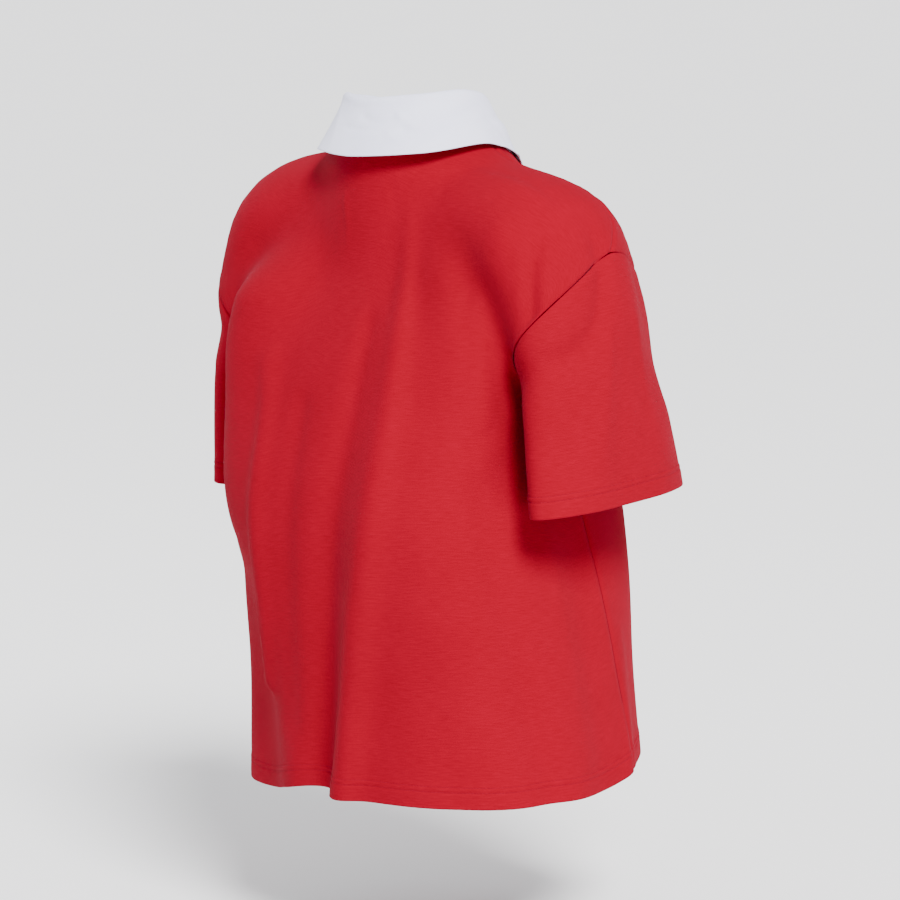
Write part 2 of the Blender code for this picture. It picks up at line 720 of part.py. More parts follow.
def stand_radius(ring, turns, heights):
    """Outer radius of the collar stand."""
    known, level = collar_turns(ring), np.abs(turns)
    low_radius = np.interp(turns, known, np.hypot(ring[:, 0], ring[:, 1] - NECK_CENTRE_Y))
    low = np.interp(turns, known, ring[:, 2])
    high = COLLAR.at("fold_height", level) - FOLD_OVER
    share = np.clip((heights - low) / (high - low), 0, 1)
    return low_radius * (1 - share) + COLLAR.at("fold_radius", level) * share


def leaf_points(ring):
    """Outer face of the collar leaf, rows from its inner leg over the fold to its edge."""
    turns = collar_turns(ring)
    level, hand = np.abs(turns), np.sign(turns)
    radius = COLLAR.at("fold_radius", level)
    crest = COLLAR.at("fold_height", level)
    inside = -COLLAR_WALL - STAND_LEAF_GAP - COLLAR_WALL
    outside = STAND_LEAF_GAP + COLLAR_WALL
    rows = [
        on_collar(turns, radius + inside, crest - FOLD_OVER - INNER_LEG),
        on_collar(turns, radius + inside, crest - FOLD_OVER + 0.0004),
        on_collar(turns, radius + 0.5 * (inside + outside), crest),
        on_collar(turns, radius + outside, crest - FOLD_OVER + 0.0004),
    ]
    flare = COLLAR.at("flare", level)
    drop = np.sqrt(COLLAR.at("fall", level) ** 2 - flare ** 2)
    turn_at_edge = COLLAR.at("edge_turn", level)
    for share in np.linspace(0, 1, LEAF_FALL_STEPS + 1)[1:]:
        swung = hand * (level + (turn_at_edge - level) * share ** 1.5)
        height = crest - FOLD_OVER - drop * share
        least = stand_radius(ring, swung, height) + outside + STAND_LEAF_GAP
        row = on_collar(swung, np.maximum(radius + outside + flare * share ** 1.15, least), height)
        for _ in range(4):
            short = np.maximum(0, COLLAR_CLEARANCE - form_field(row))
            row = row + short[:, None] * outward(row)
        rows.append(row)
    return np.stack(rows, axis=1)


def build_leaf(ring, collection):
    """The collar leaf, folded over the stand and falling outside it."""
    outer = leaf_points(ring)
    away = sheet_outward(outer)
    middle = outer[len(outer) // 2, -1] - outer[len(outer) // 2, 0]
    if np.dot(away[len(outer) // 2, -1], middle) < 0:
        away = -away
    return walled("collar_leaf", outer, outer - COLLAR_WALL * away, collection)


def finish(name, colour, roughness):
    """A plain material."""
    material = bpy.data.materials.new(name)
    material.use_nodes = True
    shader = material.node_tree.nodes["Principled BSDF"]
    shader.inputs["Base Color"].default_value = (*colour, 1)
    shader.inputs["Roughness"].default_value = roughness
    shader.inputs["Metallic"].default_value = 0
    return material


def main():
    """Build the shirt."""
    for thing in list(bpy.data.objects):
        bpy.data.objects.remove(thing)
    shirt = bpy.data.collections.new(SHIRT_NAME)
    bpy.context.scene.collection.children.link(shirt)
    knit = finish("red_knit", (0.60, 0.006, 0.028), 0.9)
    woven = finish("white_woven", (0.80, 0.80, 0.88), 0.8)
    plastic = finish("white_plastic", (0.85, 0.85, 0.84), 0.35)
    back, front = panel_points(False), panel_points(True)
    knitted = [build_panel("back_panel", back, shirt),
               build_panel("front_panel", front, shirt, slit=slit_place(front)),
               build_sleeve("sleeve_right", -1, shirt),
               build_sleeve("sleeve_left", 1, shirt),
               *build_placket(front, shirt)]
    ring_points = neck_ring(back, front)
    collar = [build_stand(ring_points, shirt), build_leaf(ring_points, shirt)]
    buttons = [build_button(f"button_{number}", height, shirt)
               for number, height in enumerate(BUTTON_HEIGHTS, 1)]
    for pieces, material in ((knitted, knit), (collar, woven), (buttons, plastic)):
        for piece in pieces:
            piece.data.materials.append(material)


main()
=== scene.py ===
"""Cropped knit polo shirt: cloth, sewing, finishes, light and camera on its fixed frame.

Metres, +Z up. The shirt faces -Y, its right sleeve is at -X, and the origin lies in the
middle of the neck, level with the top of the shoulders. The cloth follows one filled-out
form: a body tube, two bent arm tubes and a neck, with the drape folds on them. Each
piece is a fine grid between its seams, with the relief of its sewing and creases.
"""
import logging
import math
from dataclasses import dataclass, field
from enum import Enum
from typing import Callable, Optional, Sequence

import bmesh
import bpy
import numpy as np
from mathutils import Matrix, Vector

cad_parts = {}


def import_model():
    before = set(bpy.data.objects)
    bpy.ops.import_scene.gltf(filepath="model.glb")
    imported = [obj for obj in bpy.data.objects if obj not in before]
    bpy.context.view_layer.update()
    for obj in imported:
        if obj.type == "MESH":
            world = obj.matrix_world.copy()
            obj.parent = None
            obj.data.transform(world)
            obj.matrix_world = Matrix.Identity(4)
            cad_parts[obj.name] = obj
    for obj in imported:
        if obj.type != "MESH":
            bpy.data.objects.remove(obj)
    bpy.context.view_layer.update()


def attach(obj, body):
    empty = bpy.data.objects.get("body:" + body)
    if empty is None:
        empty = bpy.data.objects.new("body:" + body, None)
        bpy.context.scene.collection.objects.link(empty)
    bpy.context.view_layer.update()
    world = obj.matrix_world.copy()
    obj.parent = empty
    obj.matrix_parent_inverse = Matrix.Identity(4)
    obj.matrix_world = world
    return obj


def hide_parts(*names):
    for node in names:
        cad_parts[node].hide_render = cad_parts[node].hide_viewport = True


LOG = logging.getLogger("polo_shirt")
IMAGE_SIZE = 900
SENSOR_WIDTH = 36.0
# Rows of points beside a seam: their distances from it
SEAM_ROWS = np.array((0, 0.0004, 0.0012, 0.0024, 0.0042, 0.0068))
SMALLEST = 1e-9

Points = np.ndarray


class Side(Enum):
    """A side of the shirt, as its wearer would name it."""

    RIGHT = -1
    LEFT = 1


class Face(Enum):
    """A body panel."""

    BACK = "back_panel"
    FRONT = "front_panel"


class Table:
    """Rows with a station first, read on a smooth curve along it."""

    def __init__(self, rows: Sequence[Sequence[float]], period: Optional[float] = None) -> None:
        """Keep the rows.

        Args:
            rows: Rows of numbers, the station first.
            period: The station's period, where it goes round.
        """
        values = np.array(rows, dtype=float)
        if period:
            before, after = values.copy(), values.copy()
            before[:, 0] -= period
            after[:, 0] += period
            values = np.vstack((before, values, after))
        self.values = values[np.argsort(values[:, 0])]
        self.slopes = np.gradient(self.values, self.values[:, 0], axis=0)

    def at(self, column: int, station: Points) -> Points:
        """Read a column at each station.

        Args:
            column: The column, counted from the station at 0.
            station: Stations to read it at.

        Returns:
            The values there.
        """
        knots, levels, slopes = self.values[:, 0], self.values[:, column], self.slopes[:, column]
        place = np.clip(np.asarray(station, dtype=float), knots[0], knots[-1])
        row = np.clip(np.searchsorted(knots, place) - 1, 0, len(knots) - 2)
        span = knots[row + 1] - knots[row]
        t = (place - knots[row]) / span
        rise = levels[row + 1] - levels[row]
        return (levels[row] + rise * t * t * (3 - 2 * t)
                + span * t * (1 - t) * ((1 - t) * slopes[row] - t * slopes[row + 1]))


@dataclass(frozen=True)
class Fold:
    """A soft fold through three points; a rise below zero is a hollow.

    The turn goes round from the centre back (on a sleeve, from its outer side), in
    degrees, and the height is in metres.
    """

    turns: tuple[float, float, float]
    heights: tuple[float, float, float]
    widths: tuple[float, float]
    rises: tuple[float, float]


def fold_rise(folds: Sequence[Fold], turn: Points, height: Points, radius: float, steps: int = 8) -> Points:
    """How far the folds raise the cloth.

    Args:
        folds: The folds.
        turn: Turn of each point, in degrees.
        height: Height of each point.
        radius: Radius that changes a turn into a distance.
        steps: Straight steps along each fold.

    Returns:
        The rise at each point.
    """
    rise = np.zeros_like(turn)
    t = np.linspace(0, 1, steps + 1)
    weights = np.array(((1 - t) * (1 - 2 * t), 4 * t * (1 - t), t * (2 * t - 1)))
    for fold in folds:
        line_turn, line_up = fold.turns @ weights, fold.heights @ weights
        reach = 3 * max(fold.widths)
        low, high = line_up.min() - reach, line_up.max() + reach
        off = (turn - line_turn.mean() + 180) % 360 - 180
        wide = np.degrees(reach / radius) + np.ptp(line_turn)
        pick = np.nonzero((height > low) & (height < high) & (np.abs(off) < wide))[0]
        if not len(pick):
            continue
        across = np.radians((turn[pick, None] - line_turn[:-1] + 180) % 360 - 180) * radius
        up = height[pick, None] - line_up[:-1]
        step_across, step_up = np.radians(np.diff(line_turn)) * radius, np.diff(line_up)
        share = np.clip((across * step_across + up * step_up) / (step_across ** 2 + step_up ** 2), 0, 1)
        away = np.hypot(across - share * step_across, up - share * step_up)
        near = np.argmin(away, axis=1)
        order = np.arange(len(pick))
        place = (near + share[order, near]) / steps
        width = fold.widths[0] + (fold.widths[1] - fold.widths[0]) * place
        lift = fold.rises[0] + (fold.rises[1] - fold.rises[0]) * place
        rise[pick] += lift * np.exp(-(away[order, near] / width) ** 2)
    return rise


@dataclass
class Form:
    """The filled-out form that the cloth lies on: body, arms and neck, blended, with their folds."""

    # height, half width, back depth, front depth, centre y, squareness
    sections: tuple = (
        (-0.64, 0.184, 0.142, 0.144, 0.024, 2.4),
        (-0.56, 0.182, 0.142, 0.144, 0.023, 2.4),
        (-0.47, 0.176, 0.143, 0.144, 0.022, 2.5),
        (-0.38, 0.168, 0.149, 0.145, 0.021, 2.9),
        (-0.30, 0.157, 0.149, 0.143, 0.018, 3.2),
        (-0.22, 0.151, 0.131, 0.134, 0.013, 2.8),
        (-0.15, 0.150, 0.108, 0.114, 0.008, 2.5),
        (-0.10, 0.138, 0.084, 0.092, 0.004, 2.3),
        (-0.06, 0.105, 0.062, 0.066, 0.001, 2.2),
        (-0.03, 0.060, 0.045, 0.048, 0.000, 2.0),
    )
    body_top: float = -0.045
    arm_steps: int = 36
    # distance along the arm, outwards, height, centre y, thickness radius, fore radius
    stations: tuple = (
        (0.00, 0.030, -0.060, 0.005, 0.056, 0.062),
        (0.07, 0.098, -0.064, 0.005, 0.055, 0.067),
        (0.13, 0.152, -0.079, 0.003, 0.053, 0.075),
        (0.19, 0.181, -0.130, 0.003, 0.045, 0.076),
        (0.26, 0.194, -0.202, 0.002, 0.036, 0.082),
        (0.33, 0.199, -0.278, 0.000, 0.033, 0.089),
        (0.40, 0.202, -0.348, -0.003, 0.031, 0.093),
    )
    neck_radii: tuple[float, float] = (0.073, 0.075)
    neck_top: float = 0.016
    # height, softness of the blend between body and arm
    arm_blends: tuple = ((-0.30, 0.005), (-0.235, 0.006), (-0.20, 0.024), (-0.16, 0.042), (-0.10, 0.048))
    neck_blend: float = 0.034
    # below this height the panels leave the arm tubes, this fast
    underarm_height: float = -0.232
    underarm_slope: float = 2.0
    # cloth that swings clear of the arms, behind them
    swings: tuple[Fold, ...] = (
        Fold((-51, -53, -48), (-0.130, -0.240, -0.345), (0.048, 0.048), (0.043, 0.000)),
        Fold((52, 57, 58), (-0.100, -0.160, -0.250), (0.026, 0.030), (0.012, 0.007)),
    )
    body_folds: tuple[Fold, ...] = (
        Fold((36, 27, 4), (-0.05, -0.29, -0.60), (0.014, 0.020), (0.005, 0.014)),
        Fold((18, 7, -10), (-0.15, -0.36, -0.60), (0.016, 0.030), (-0.004, -0.015)),
        Fold((-44, -44, -44), (-0.400, -0.480, -0.600), (0.046, 0.046), (-0.014, -0.017)),
        Fold((-33, -25, -34), (-0.180, -0.320, -0.470), (0.011, 0.012), (0.004, 0.008)),
        Fold((-12, -12, -20), (-0.220, -0.340, -0.500), (0.015, 0.018), (-0.003, -0.004)),
        Fold((57, 65, 77), (-0.25, -0.38, -0.56), (0.015, 0.020), (-0.002, -0.006)),
        Fold((78, 71, 67), (-0.07, -0.15, -0.24), (0.014, 0.020), (0.005, 0.003)),
        Fold((96, 98, 100), (-0.36, -0.48, -0.60), (0.022, 0.028), (-0.003, -0.007)),
        Fold((126, 128, 130), (-0.34, -0.48, -0.60), (0.024, 0.032), (0.003, 0.009)),
        Fold((158, 156, 154), (-0.22, -0.40, -0.60), (0.024, 0.034), (-0.003, -0.012)),
        Fold((192, 190, 186), (-0.24, -0.42, -0.60), (0.022, 0.032), (0.004, 0.010)),
        Fold((228, 226, 222), (-0.28, -0.44, -0.60), (0.020, 0.032), (-0.004, -0.014)),
        Fold((256, 258, 256), (-0.32, -0.46, -0.60), (0.024, 0.030), (0.003, 0.009)),
        Fold((283, 288, 293), (-0.10, -0.16, -0.24), (0.016, 0.022), (0.005, 0.003)),
        Fold((300, 298, 300), (-0.40, -0.50, -0.60), (0.022, 0.028), (0.002, 0.008)),
    )
    arm_folds: dict[Side, tuple[Fold, ...]] = field(default_factory=lambda: {
        Side.RIGHT: (
            Fold((4, 34, 92), (-0.105, -0.155, -0.185), (0.013, 0.017), (-0.004, -0.006)),
            Fold((20, 40, 60), (-0.19, -0.24, -0.33), (0.018, 0.022), (0.002, 0.004)),
            Fold((-60, -70, -92), (-0.12, -0.17, -0.21), (0.016, 0.020), (-0.003, -0.006)),
            Fold((-60, -20, 20), (-0.070, -0.069, -0.070), (0.009, 0.009), (-0.005, -0.004)),
            Fold((-62, -66, -70), (-0.100, -0.150, -0.210), (0.030, 0.030), (-0.0035, -0.0025)),
            Fold((-66, -68, -70), (-0.250, -0.300, -0.350), (0.030, 0.030), (0.0020, 0.0040)),
        ),
        Side.LEFT: (
            Fold((8, 40, 90), (-0.110, -0.150, -0.180), (0.016, 0.020), (-0.003, -0.006)),
            Fold((26, 34, 48), (-0.20, -0.25, -0.33), (0.018, 0.022), (0.002, 0.003)),
            Fold((-56, -74, -94), (-0.125, -0.17, -0.20), (0.016, 0.020), (-0.003, -0.006)),
        ),
    })
    body_fold_radius: float = 0.165
    arm_fold_radius: float = 0.065

    def __post_init__(self) -> None:
        """Make the tables."""
        self.body = Table(self.sections)
        self.arm = Table(self.stations)
        self.softness = Table(self.arm_blends)

    @staticmethod
    def tube(across: Points, fore: Points, wide: Points, deep: Points, power: Points = 2.0) -> Points:
        """How far points lie outside a tube's section.

        Args:
            across: How far each point is from the section's middle, across.
            fore: How far, from front to back.
            wide: Half the section's width.
            deep: Half its depth.
            power: Its squareness; 2 is an ellipse.

        Returns:
            The distance of each, negative inside.
        """
        reach = np.hypot(across, fore) + SMALLEST
        ratio = (np.abs(across / wide) ** power + np.abs(fore / deep) ** power) ** (1 / power) + SMALLEST
        return reach - reach / ratio

    def body_field(self, points: Points, swung: bool = True) -> Points:
        """How far points lie outside the body tube.

        Args:
            points: The points.
            swung: Whether the swings are part of the form.

        Returns:
            The distance of each, negative inside.
        """
        x, y, z = points.T
        fore = y - self.body.at(4, z)
        depth = np.where(fore > 0, self.body.at(2, z), self.body.at(3, z))
        side = self.tube(x, fore, self.body.at(1, z), depth, self.body.at(5, z))
        turn = np.degrees(np.arctan2(-x, fore))
        folds = (*self.body_folds, *self.swings) if swung else self.body_folds
        return np.maximum(side - fold_rise(folds, turn, z, self.body_fold_radius), z - self.body_top)

    def arm_field(self, points: Points, side: Side) -> Points:
        """How far points lie outside the arm tube on one side.

        Args:
            points: The points.
            side: The arm's side.

        Returns:
            The distance of each, negative inside.
        """
        out, y, z = points[:, 0] * side.value, points[:, 1], points[:, 2]
        along = np.linspace(self.stations[0][0], self.stations[-1][0], self.arm_steps + 1)
        line_out, line_z = self.arm.at(1, along), self.arm.at(2, along)
        step_out, step_z = np.diff(line_out), np.diff(line_z)
        span = step_out ** 2 + step_z ** 2
        off_out, off_z = out[:, None] - line_out[:-1], z[:, None] - line_z[:-1]
        t = np.clip((off_out * step_out + off_z * step_z) / span, 0, 1)
        gap_out, gap_z = off_out - t * step_out, off_z - t * step_z
        gap = np.hypot(gap_out, gap_z)
        near, pick = np.argmin(gap, axis=1), np.arange(len(out))
        place = along[near] + t[pick, near] * (along[near + 1] - along[near])
        fore = y - self.arm.at(3, place)
        tube = self.tube(gap[pick, near], fore, self.arm.at(4, place), self.arm.at(5, place))
        outer = gap_out[pick, near] * -step_z[near] + gap_z[pick, near] * step_out[near]
        turn = np.degrees(np.arctan2(fore, np.sign(outer) * gap[pick, near]))
        height = line_z[near] + t[pick, near] * step_z[near]
        return tube - fold_rise(self.arm_folds[side], turn, height, self.arm_fold_radius)

    def neck_field(self, points: Points) -> Points:
        """How far points lie outside the neck."""
        x, y, z = points.T
        return np.maximum(self.tube(x, y, *self.neck_radii), z - self.neck_top)

    @staticmethod
    def blended(first: Points, second: Points, softness: Points) -> Points:
        """Two fields joined with a soft hollow."""
        share = np.clip(0.5 + 0.5 * (second - first) / softness, 0, 1)
        return second + (first - second) * share - softness * share * (1 - share)

    def whole(self, points: Points, swung: bool = True) -> Points:
        """How far points lie outside the whole form.

        Args:
            points: The points.
            swung: Whether the swings are part of the form.

        Returns:
            The distance of each, negative inside.
        """
        found = self.body_field(points, swung)
        softness = self.softness.at(1, points[:, 2])
        below = self.underarm_slope * np.maximum(0, self.underarm_height - points[:, 2])
        for side in Side:
            found = self.blended(found, self.arm_field(points, side) + below, softness)
        return self.blended(found, self.neck_field(points), self.neck_blend)

    def slope(self, points: Points, level: Points, swung: bool = True, step: float = 0.0008) -> Points:
        """Slope of the form's field.

        Args:
            points: Where to take it.
            level: The field there.
            swung: Whether the swings are part of the form.
            step: Distance of the second point.

        Returns:
            The slope at each point.
        """
        levels = [self.whole(points + step * axis, swung) for axis in np.eye(3)]
        return (np.stack(levels, axis=1) - level[:, None]) / step

    def laid(self, points: Points, rounds: int = 8, swung: bool = True, longest: float = 0.012) -> Points:
        """Move points straight onto the form.

        Args:
            points: Points near the form.
            rounds: How often each is moved.
            swung: Whether the swings are part of the form.
            longest: Longest move of a round.

        Returns:
            The points on the form.
        """
        points = points.copy()
        for _ in range(rounds):
            level = self.whole(points, swung)
            slope = self.slope(points, level, swung)
            size = np.linalg.norm(slope, axis=1, keepdims=True) + SMALLEST
            points -= np.clip(level[:, None] / size, -longest, longest) * slope / size
        return points

    def outward(self, points: Points) -> Points:
        """Directions that point out of the form."""
        slope = self.slope(points, self.whole(points))
        return slope / (np.linalg.norm(slope, axis=1, keepdims=True) + 1e-12)

    @staticmethod
    def first_exit(starts: Points, rays: Points, level: Callable[[Points], Points], reach: float = 0.30,
                   steps: int = 60, halvings: int = 13) -> Points:
        """Where rays first leave a field.

        Args:
            starts: Points inside it.
            rays: Directions.
            level: The field.
            reach: How far to look.
            steps: Steps of the search.
            halvings: How often the step that leaves is halved.

        Returns:
            The points where the rays leave.
        """
        rays = rays / np.linalg.norm(rays, axis=1, keepdims=True)
        low, high = np.zeros(len(starts)), np.full(len(starts), reach)
        found = np.zeros(len(starts), dtype=bool)
        for step in range(1, steps + 1):
            distance = reach * step / steps
            outside = level(starts + rays * distance) > 0
            new = outside & ~found
            high[new], low[new] = distance, distance - reach / steps
            found |= new
            if found.all():
                break
        for _ in range(halvings):
            middle = 0.5 * (low + high)
            outside = level(starts + rays * middle[:, None]) > 0
            high, low = np.where(outside, middle, high), np.where(outside, low, middle)
        return starts + rays * (0.5 * (low + high))[:, None]


def run_of(points: Points) -> Points:
    """Distance along a line to each of its points."""
    return np.concatenate(([0], np.cumsum(np.linalg.norm(np.diff(points, axis=0), axis=1))))


def runs_down(grid: Points) -> Points:
    """Distance down each column of a grid to its points."""
    return np.stack([run_of(column) for column in grid])


def runs_across(grid: Points) -> Points:
    """Distance across each row of a grid to its points."""
    return runs_down(np.moveaxis(grid, 1, 0)).T


def at_marks(points: Points, marks: Points) -> Points:
    """Points at given distances along a line."""
    run = run_of(points)
    return np.column_stack([np.interp(marks, run, points[:, axis]) for axis in range(3)])


def at_shares(points: Points, shares: Points) -> Points:
    """Points at given shares of a line's length."""
    return at_marks(points, np.asarray(shares) * run_of(points)[-1])


def smoothed(line: Points, rounds: int) -> Points:
    """A line with its inner points eased, its ends kept.

    Args:
        line: The line.
        rounds: How often each point moves towards its neighbours.

    Returns:
        The eased line.
    """
    line = line.copy()
    for _ in range(rounds):
        line[1:-1] = 0.25 * line[:-2] + 0.5 * line[1:-1] + 0.25 * line[2:]
    return line


@dataclass
class Seams:
    """The lines that the shirt is sewn and hemmed along."""

    form: Form
    neckline_heights: tuple = (
        (0, 0.004), (45, 0.006), (90, 0.006), (120, -0.010), (150, -0.041), (180, -0.056),
    )
    shoulder_turn: float = 97.0
    # share from the neck, outwards, y, height
    shoulder_points: tuple = ((0.35, 0.125, -0.019, -0.024), (0.70, 0.188, -0.033, -0.058))
    armhole_along: float = 0.160
    armhole_easing: int = 30
    # turn round the arm from its outer side to the back, then the ray: outwards, back, up
    armhole_rays: tuple = (
        (0, 0.92, -0.24, 0.31), (90, 0.18, 0.84, -0.52), (120, -0.07, 0.66, -0.75),
        (150, -0.12, 0.37, -0.92), (180, -0.12, -0.02, -0.99), (210, -0.15, -0.36, -0.92),
        (240, -0.15, -0.62, -0.77), (270, 0.08, -0.90, -0.38),
    )
    cuff_along: dict[Side, float] = field(default_factory=lambda: {Side.RIGHT: 0.358, Side.LEFT: 0.363})
    cuff_rays: tuple = (
        (0, 0.98, 0.00, 0.06), (90, 0.00, 0.99, 0.00), (180, -0.98, 0.00, -0.06), (270, 0.00, -0.99, 0.00),
    )
    hem_heights: tuple = (
        (0, -0.5605), (45, -0.5635), (75, -0.5680), (105, -0.5705), (120, -0.5610), (138, -0.5520),
        (180, -0.5550), (225, -0.5590), (270, -0.5700), (315, -0.5765), (332, -0.5665), (345, -0.5600),
    )
    side_turns: tuple = ((0.0, 115.0), (0.45, 107.0), (1.0, 97.0))

    def __post_init__(self) -> None:
        """Make the tables."""
        self.neck_height = Table(self.neckline_heights)
        self.armhole_ray = Table(self.armhole_rays, period=360)
        self.cuff_ray = Table(self.cuff_rays, period=360)
        self.hem_height = Table(self.hem_heights, period=360)
        self.side_turn = Table(self.side_turns)

    def neckline(self, turns: Points) -> Points:
        """Points of the neckline.

        Args:
            turns: Turns from the centre back, towards the right.

        Returns:
            A point at each turn.
        """
        height, angle = self.neck_height.at(1, np.abs(turns)), np.radians(turns)
        starts = np.column_stack((np.zeros_like(angle), np.zeros_like(angle), height))
        rays = np.column_stack((-np.sin(angle), np.cos(angle), np.zeros_like(angle)))
        return self.form.first_exit(starts, rays, self.form.whole)

    def arm_middle(self, side: Side, along: float) -> Points:
        """A point in the middle of an arm."""
        arm = self.form.arm
        return np.array((side.value * arm.at(1, along), arm.at(3, along), arm.at(2, along)))

    def rays_round(self, side: Side, along: float, rays: Table, turns: Points) -> tuple[Points, Points]:
        """Rays round an arm.

        Args:
            side: The arm's side.
            along: Distance along the arm.
            rays: Their directions, by the turn from the arm's outer side.
            turns: The turns.

        Returns:
            The start and the direction of the ray at each turn.
        """
        starts = np.tile(self.arm_middle(side, along), (len(turns), 1))
        out, back, up = (rays.at(column, turns) for column in (1, 2, 3))
        return starts, np.column_stack((side.value * out, back, up))

    def armhole(self, side: Side, face: Face) -> Points:
        """Armhole seam from under the arm up to the shoulder's tip.

        Args:
            side: The arm's side.
            face: The panel that the seam belongs to.

        Returns:
            Points of the seam.
        """
        turns = np.linspace(180, 360 if face is Face.FRONT else 0, 91)
        line = self.form.first_exit(*self.rays_round(side, self.armhole_along, self.armhole_ray, turns),
                                    lambda points: self.form.whole(points, swung=False))
        ends = line[0].copy(), line[-1].copy()
        line = self.form.laid(smoothed(line, self.armhole_easing), 4, swung=False)
        line[0], line[-1] = ends
        return line

    def shoulder(self, side: Side) -> Points:
        """Shoulder seam from the armhole to the neckline.

        Args:
            side: The shoulder's side.

        Returns:
            Points of the seam.
        """
        tip = self.armhole(side, Face.BACK)[-1]
        neck = self.neckline(np.array([-side.value * self.shoulder_turn]))[0]
        ends = [(share, side.value * x, y, z) for share, (x, y, z) in ((0.0, neck), (1.0, tip))]
        path = Table([ends[0], *self.shoulder_points, ends[1]])
        share = np.linspace(1, 0, 61)
        line = np.column_stack([path.at(column, share) for column in (1, 2, 3)]) * (side.value, 1, 1)
        line = self.form.laid(line)
        line[0], line[-1] = tip, neck
        return line

    def round_body(self, turns: Points, heights: Points) -> Points:
        """Points on the body tube.

        Args:
            turns: Turns from the centre back, towards the right.
            heights: A height for each turn.

        Returns:
            A point for each turn.
        """
        angle = np.radians(turns)
        starts = np.column_stack((np.zeros_like(angle), self.form.body.at(4, heights), heights))
        rays = np.column_stack((-np.sin(angle), np.cos(angle), np.zeros_like(angle)))
        return self.form.first_exit(starts, rays, self.form.body_field)

    def side(self, side: Side) -> Points:
        """Side seam from the hem up to the armhole.

        Args:
            side: The seam's side.

        Returns:
            Points of the seam.
        """
        under = self.armhole(side, Face.BACK)[0]
        share = np.linspace(0, 1, 81)
        turns = self.side_turn.at(1, share)
        under_turn = math.degrees(math.atan2(abs(under[0]), under[1] - self.form.body.at(4, under[2])))
        turns += (under_turn - turns[-1]) * share ** 2
        start = self.hem_height.at(1, (-side.value * turns[0]) % 360)
        line = self.round_body(-side.value * turns, start + (under[2] - start) * share)
        line[-1] = under
        return line

    def hem(self, face: Face) -> Points:
        """Hem from the left side seam to the right one.

        Args:
            face: The panel that the hem belongs to.

        Returns:
            Points of the hem's edge.
        """
        turn = self.side_turns[0][1]
        turns = np.linspace(-turn, turn - 360 if face is Face.FRONT else turn, 241)
        return self.round_body(turns, self.hem_height.at(1, turns % 360))


@dataclass(frozen=True)
class Hem:
    """Cloth turned up and coverstitched at a panel's or a cuff's edge."""

    depth: float = 0.0212
    step: float = 0.0006
    swell: float = 0.0007
    inner_swell: float = 0.0012
    stitch_rows: tuple[float, float] = (0.0153, 0.0201)
    groove: float = 0.0006
    groove_width: float = 0.0009
    pucker: float = 0.00028
    pucker_length: float = 0.0075
    pucker_width: float = 0.0045
    # how far a row's puckers lag behind the other's, and how they wander along the hem
    pucker_lag: float = 2.1
    pucker_wander: float = 2.0
    pucker_turns: float = 31.0
    edge_rows: tuple[float, ...] = (0, 0.0003, 0.0009, 0.0018, 0.0045, 0.0080, 0.0115)
    beside_stitches: tuple[float, ...] = (-0.0018, -0.0008, 0, 0.0008)
    above_hem: tuple[float, ...] = (0.0006, 0.0018, 0.0053, 0.0088)

    def rows(self) -> Points:
        """Distances from the edge at which the cloth has a row of points."""
        stitched = [row + beside for row in self.stitch_rows for beside in self.beside_stitches]
        return np.array((*self.edge_rows, *stitched, *(self.depth + above for above in self.above_hem)))

    def inside(self, distance: Points) -> Points:
        """How far points lie in the turned-up cloth, from 0 to 1, by their distance from the edge."""
        return 1 / (1 + np.exp((distance - self.depth) / self.step))

    def wall(self, distance: Points, wall: float) -> Points:
        """The wall's depth below the cloth's face, by the distance from the edge."""
        return wall + self.inner_swell * self.inside(distance) + rounded_edge(distance)

    def relief(self, distance: Points, along: Points) -> Points:
        """Relief of the hem.

        Args:
            distance: Distance of each point from the edge.
            along: Distance along the hem.

        Returns:
            How far each point is raised.
        """
        rise = self.swell * self.inside(distance)
        for number, row in enumerate(self.stitch_rows):
            rise -= self.groove * np.exp(-((distance - row) / self.groove_width) ** 2)
            wander = self.pucker_wander * np.sin(along * self.pucker_turns)
            wave = np.sin(math.tau * along / self.pucker_length + self.pucker_lag * number + wander)
            rise += self.pucker * wave * np.exp(-((distance - row) / self.pucker_width) ** 2)
        return rise


def rounded_edge(distance: Points, radius: float = 0.0011) -> Points:
    """How far an edge is drawn in, at a distance from it, to round it."""
    near = np.clip(radius - distance, 0, radius)
    return np.sqrt(radius ** 2 - near ** 2) - radius


def seam_dip(distance: Points, depth: float = 0.0009, width: float = 0.0022, ridge: float = 0.35,
             ridge_place: float = 2.6, ridge_width: float = 1.5) -> Points:
    """How far cloth sinks towards a seam, with the soft ridge beside it.

    Args:
        distance: Distance of each point from the seam.
        depth: How deep the cloth sinks.
        width: How wide the dip is.
        ridge: The ridge's share of the depth.
        ridge_place: Where it lies, in widths of the dip.
        ridge_width: How wide it is, in widths of the dip.

    Returns:
        The rise of each point, below zero in the dip.
    """
    beside = (distance - ridge_place * width) / (ridge_width * width)
    return depth * (ridge * np.exp(-beside ** 2) - np.exp(-(distance / width) ** 2))


def linked(name: str, data: Optional[bpy.types.ID]) -> bpy.types.Object:
    """A new object in the scene.

    Args:
        name: Its name.
        data: Its mesh, curve, lamp or camera.

    Returns:
        The object.
    """
    item = bpy.data.objects.new(name, data)
    bpy.context.scene.collection.objects.link(item)
    return item


def finished(work: bmesh.types.BMesh, name: str, smooth: bool = True) -> bpy.types.Object:
    """An object of a bmesh, which is freed.

    Args:
        work: The bmesh.
        name: The object's name.
        smooth: Whether it is shaded smooth.

    Returns:
        The object.
    """
    mesh = bpy.data.meshes.new(name)
    work.to_mesh(mesh)
    work.free()
    if smooth:
        mesh.shade_smooth()
    return linked(name, mesh)


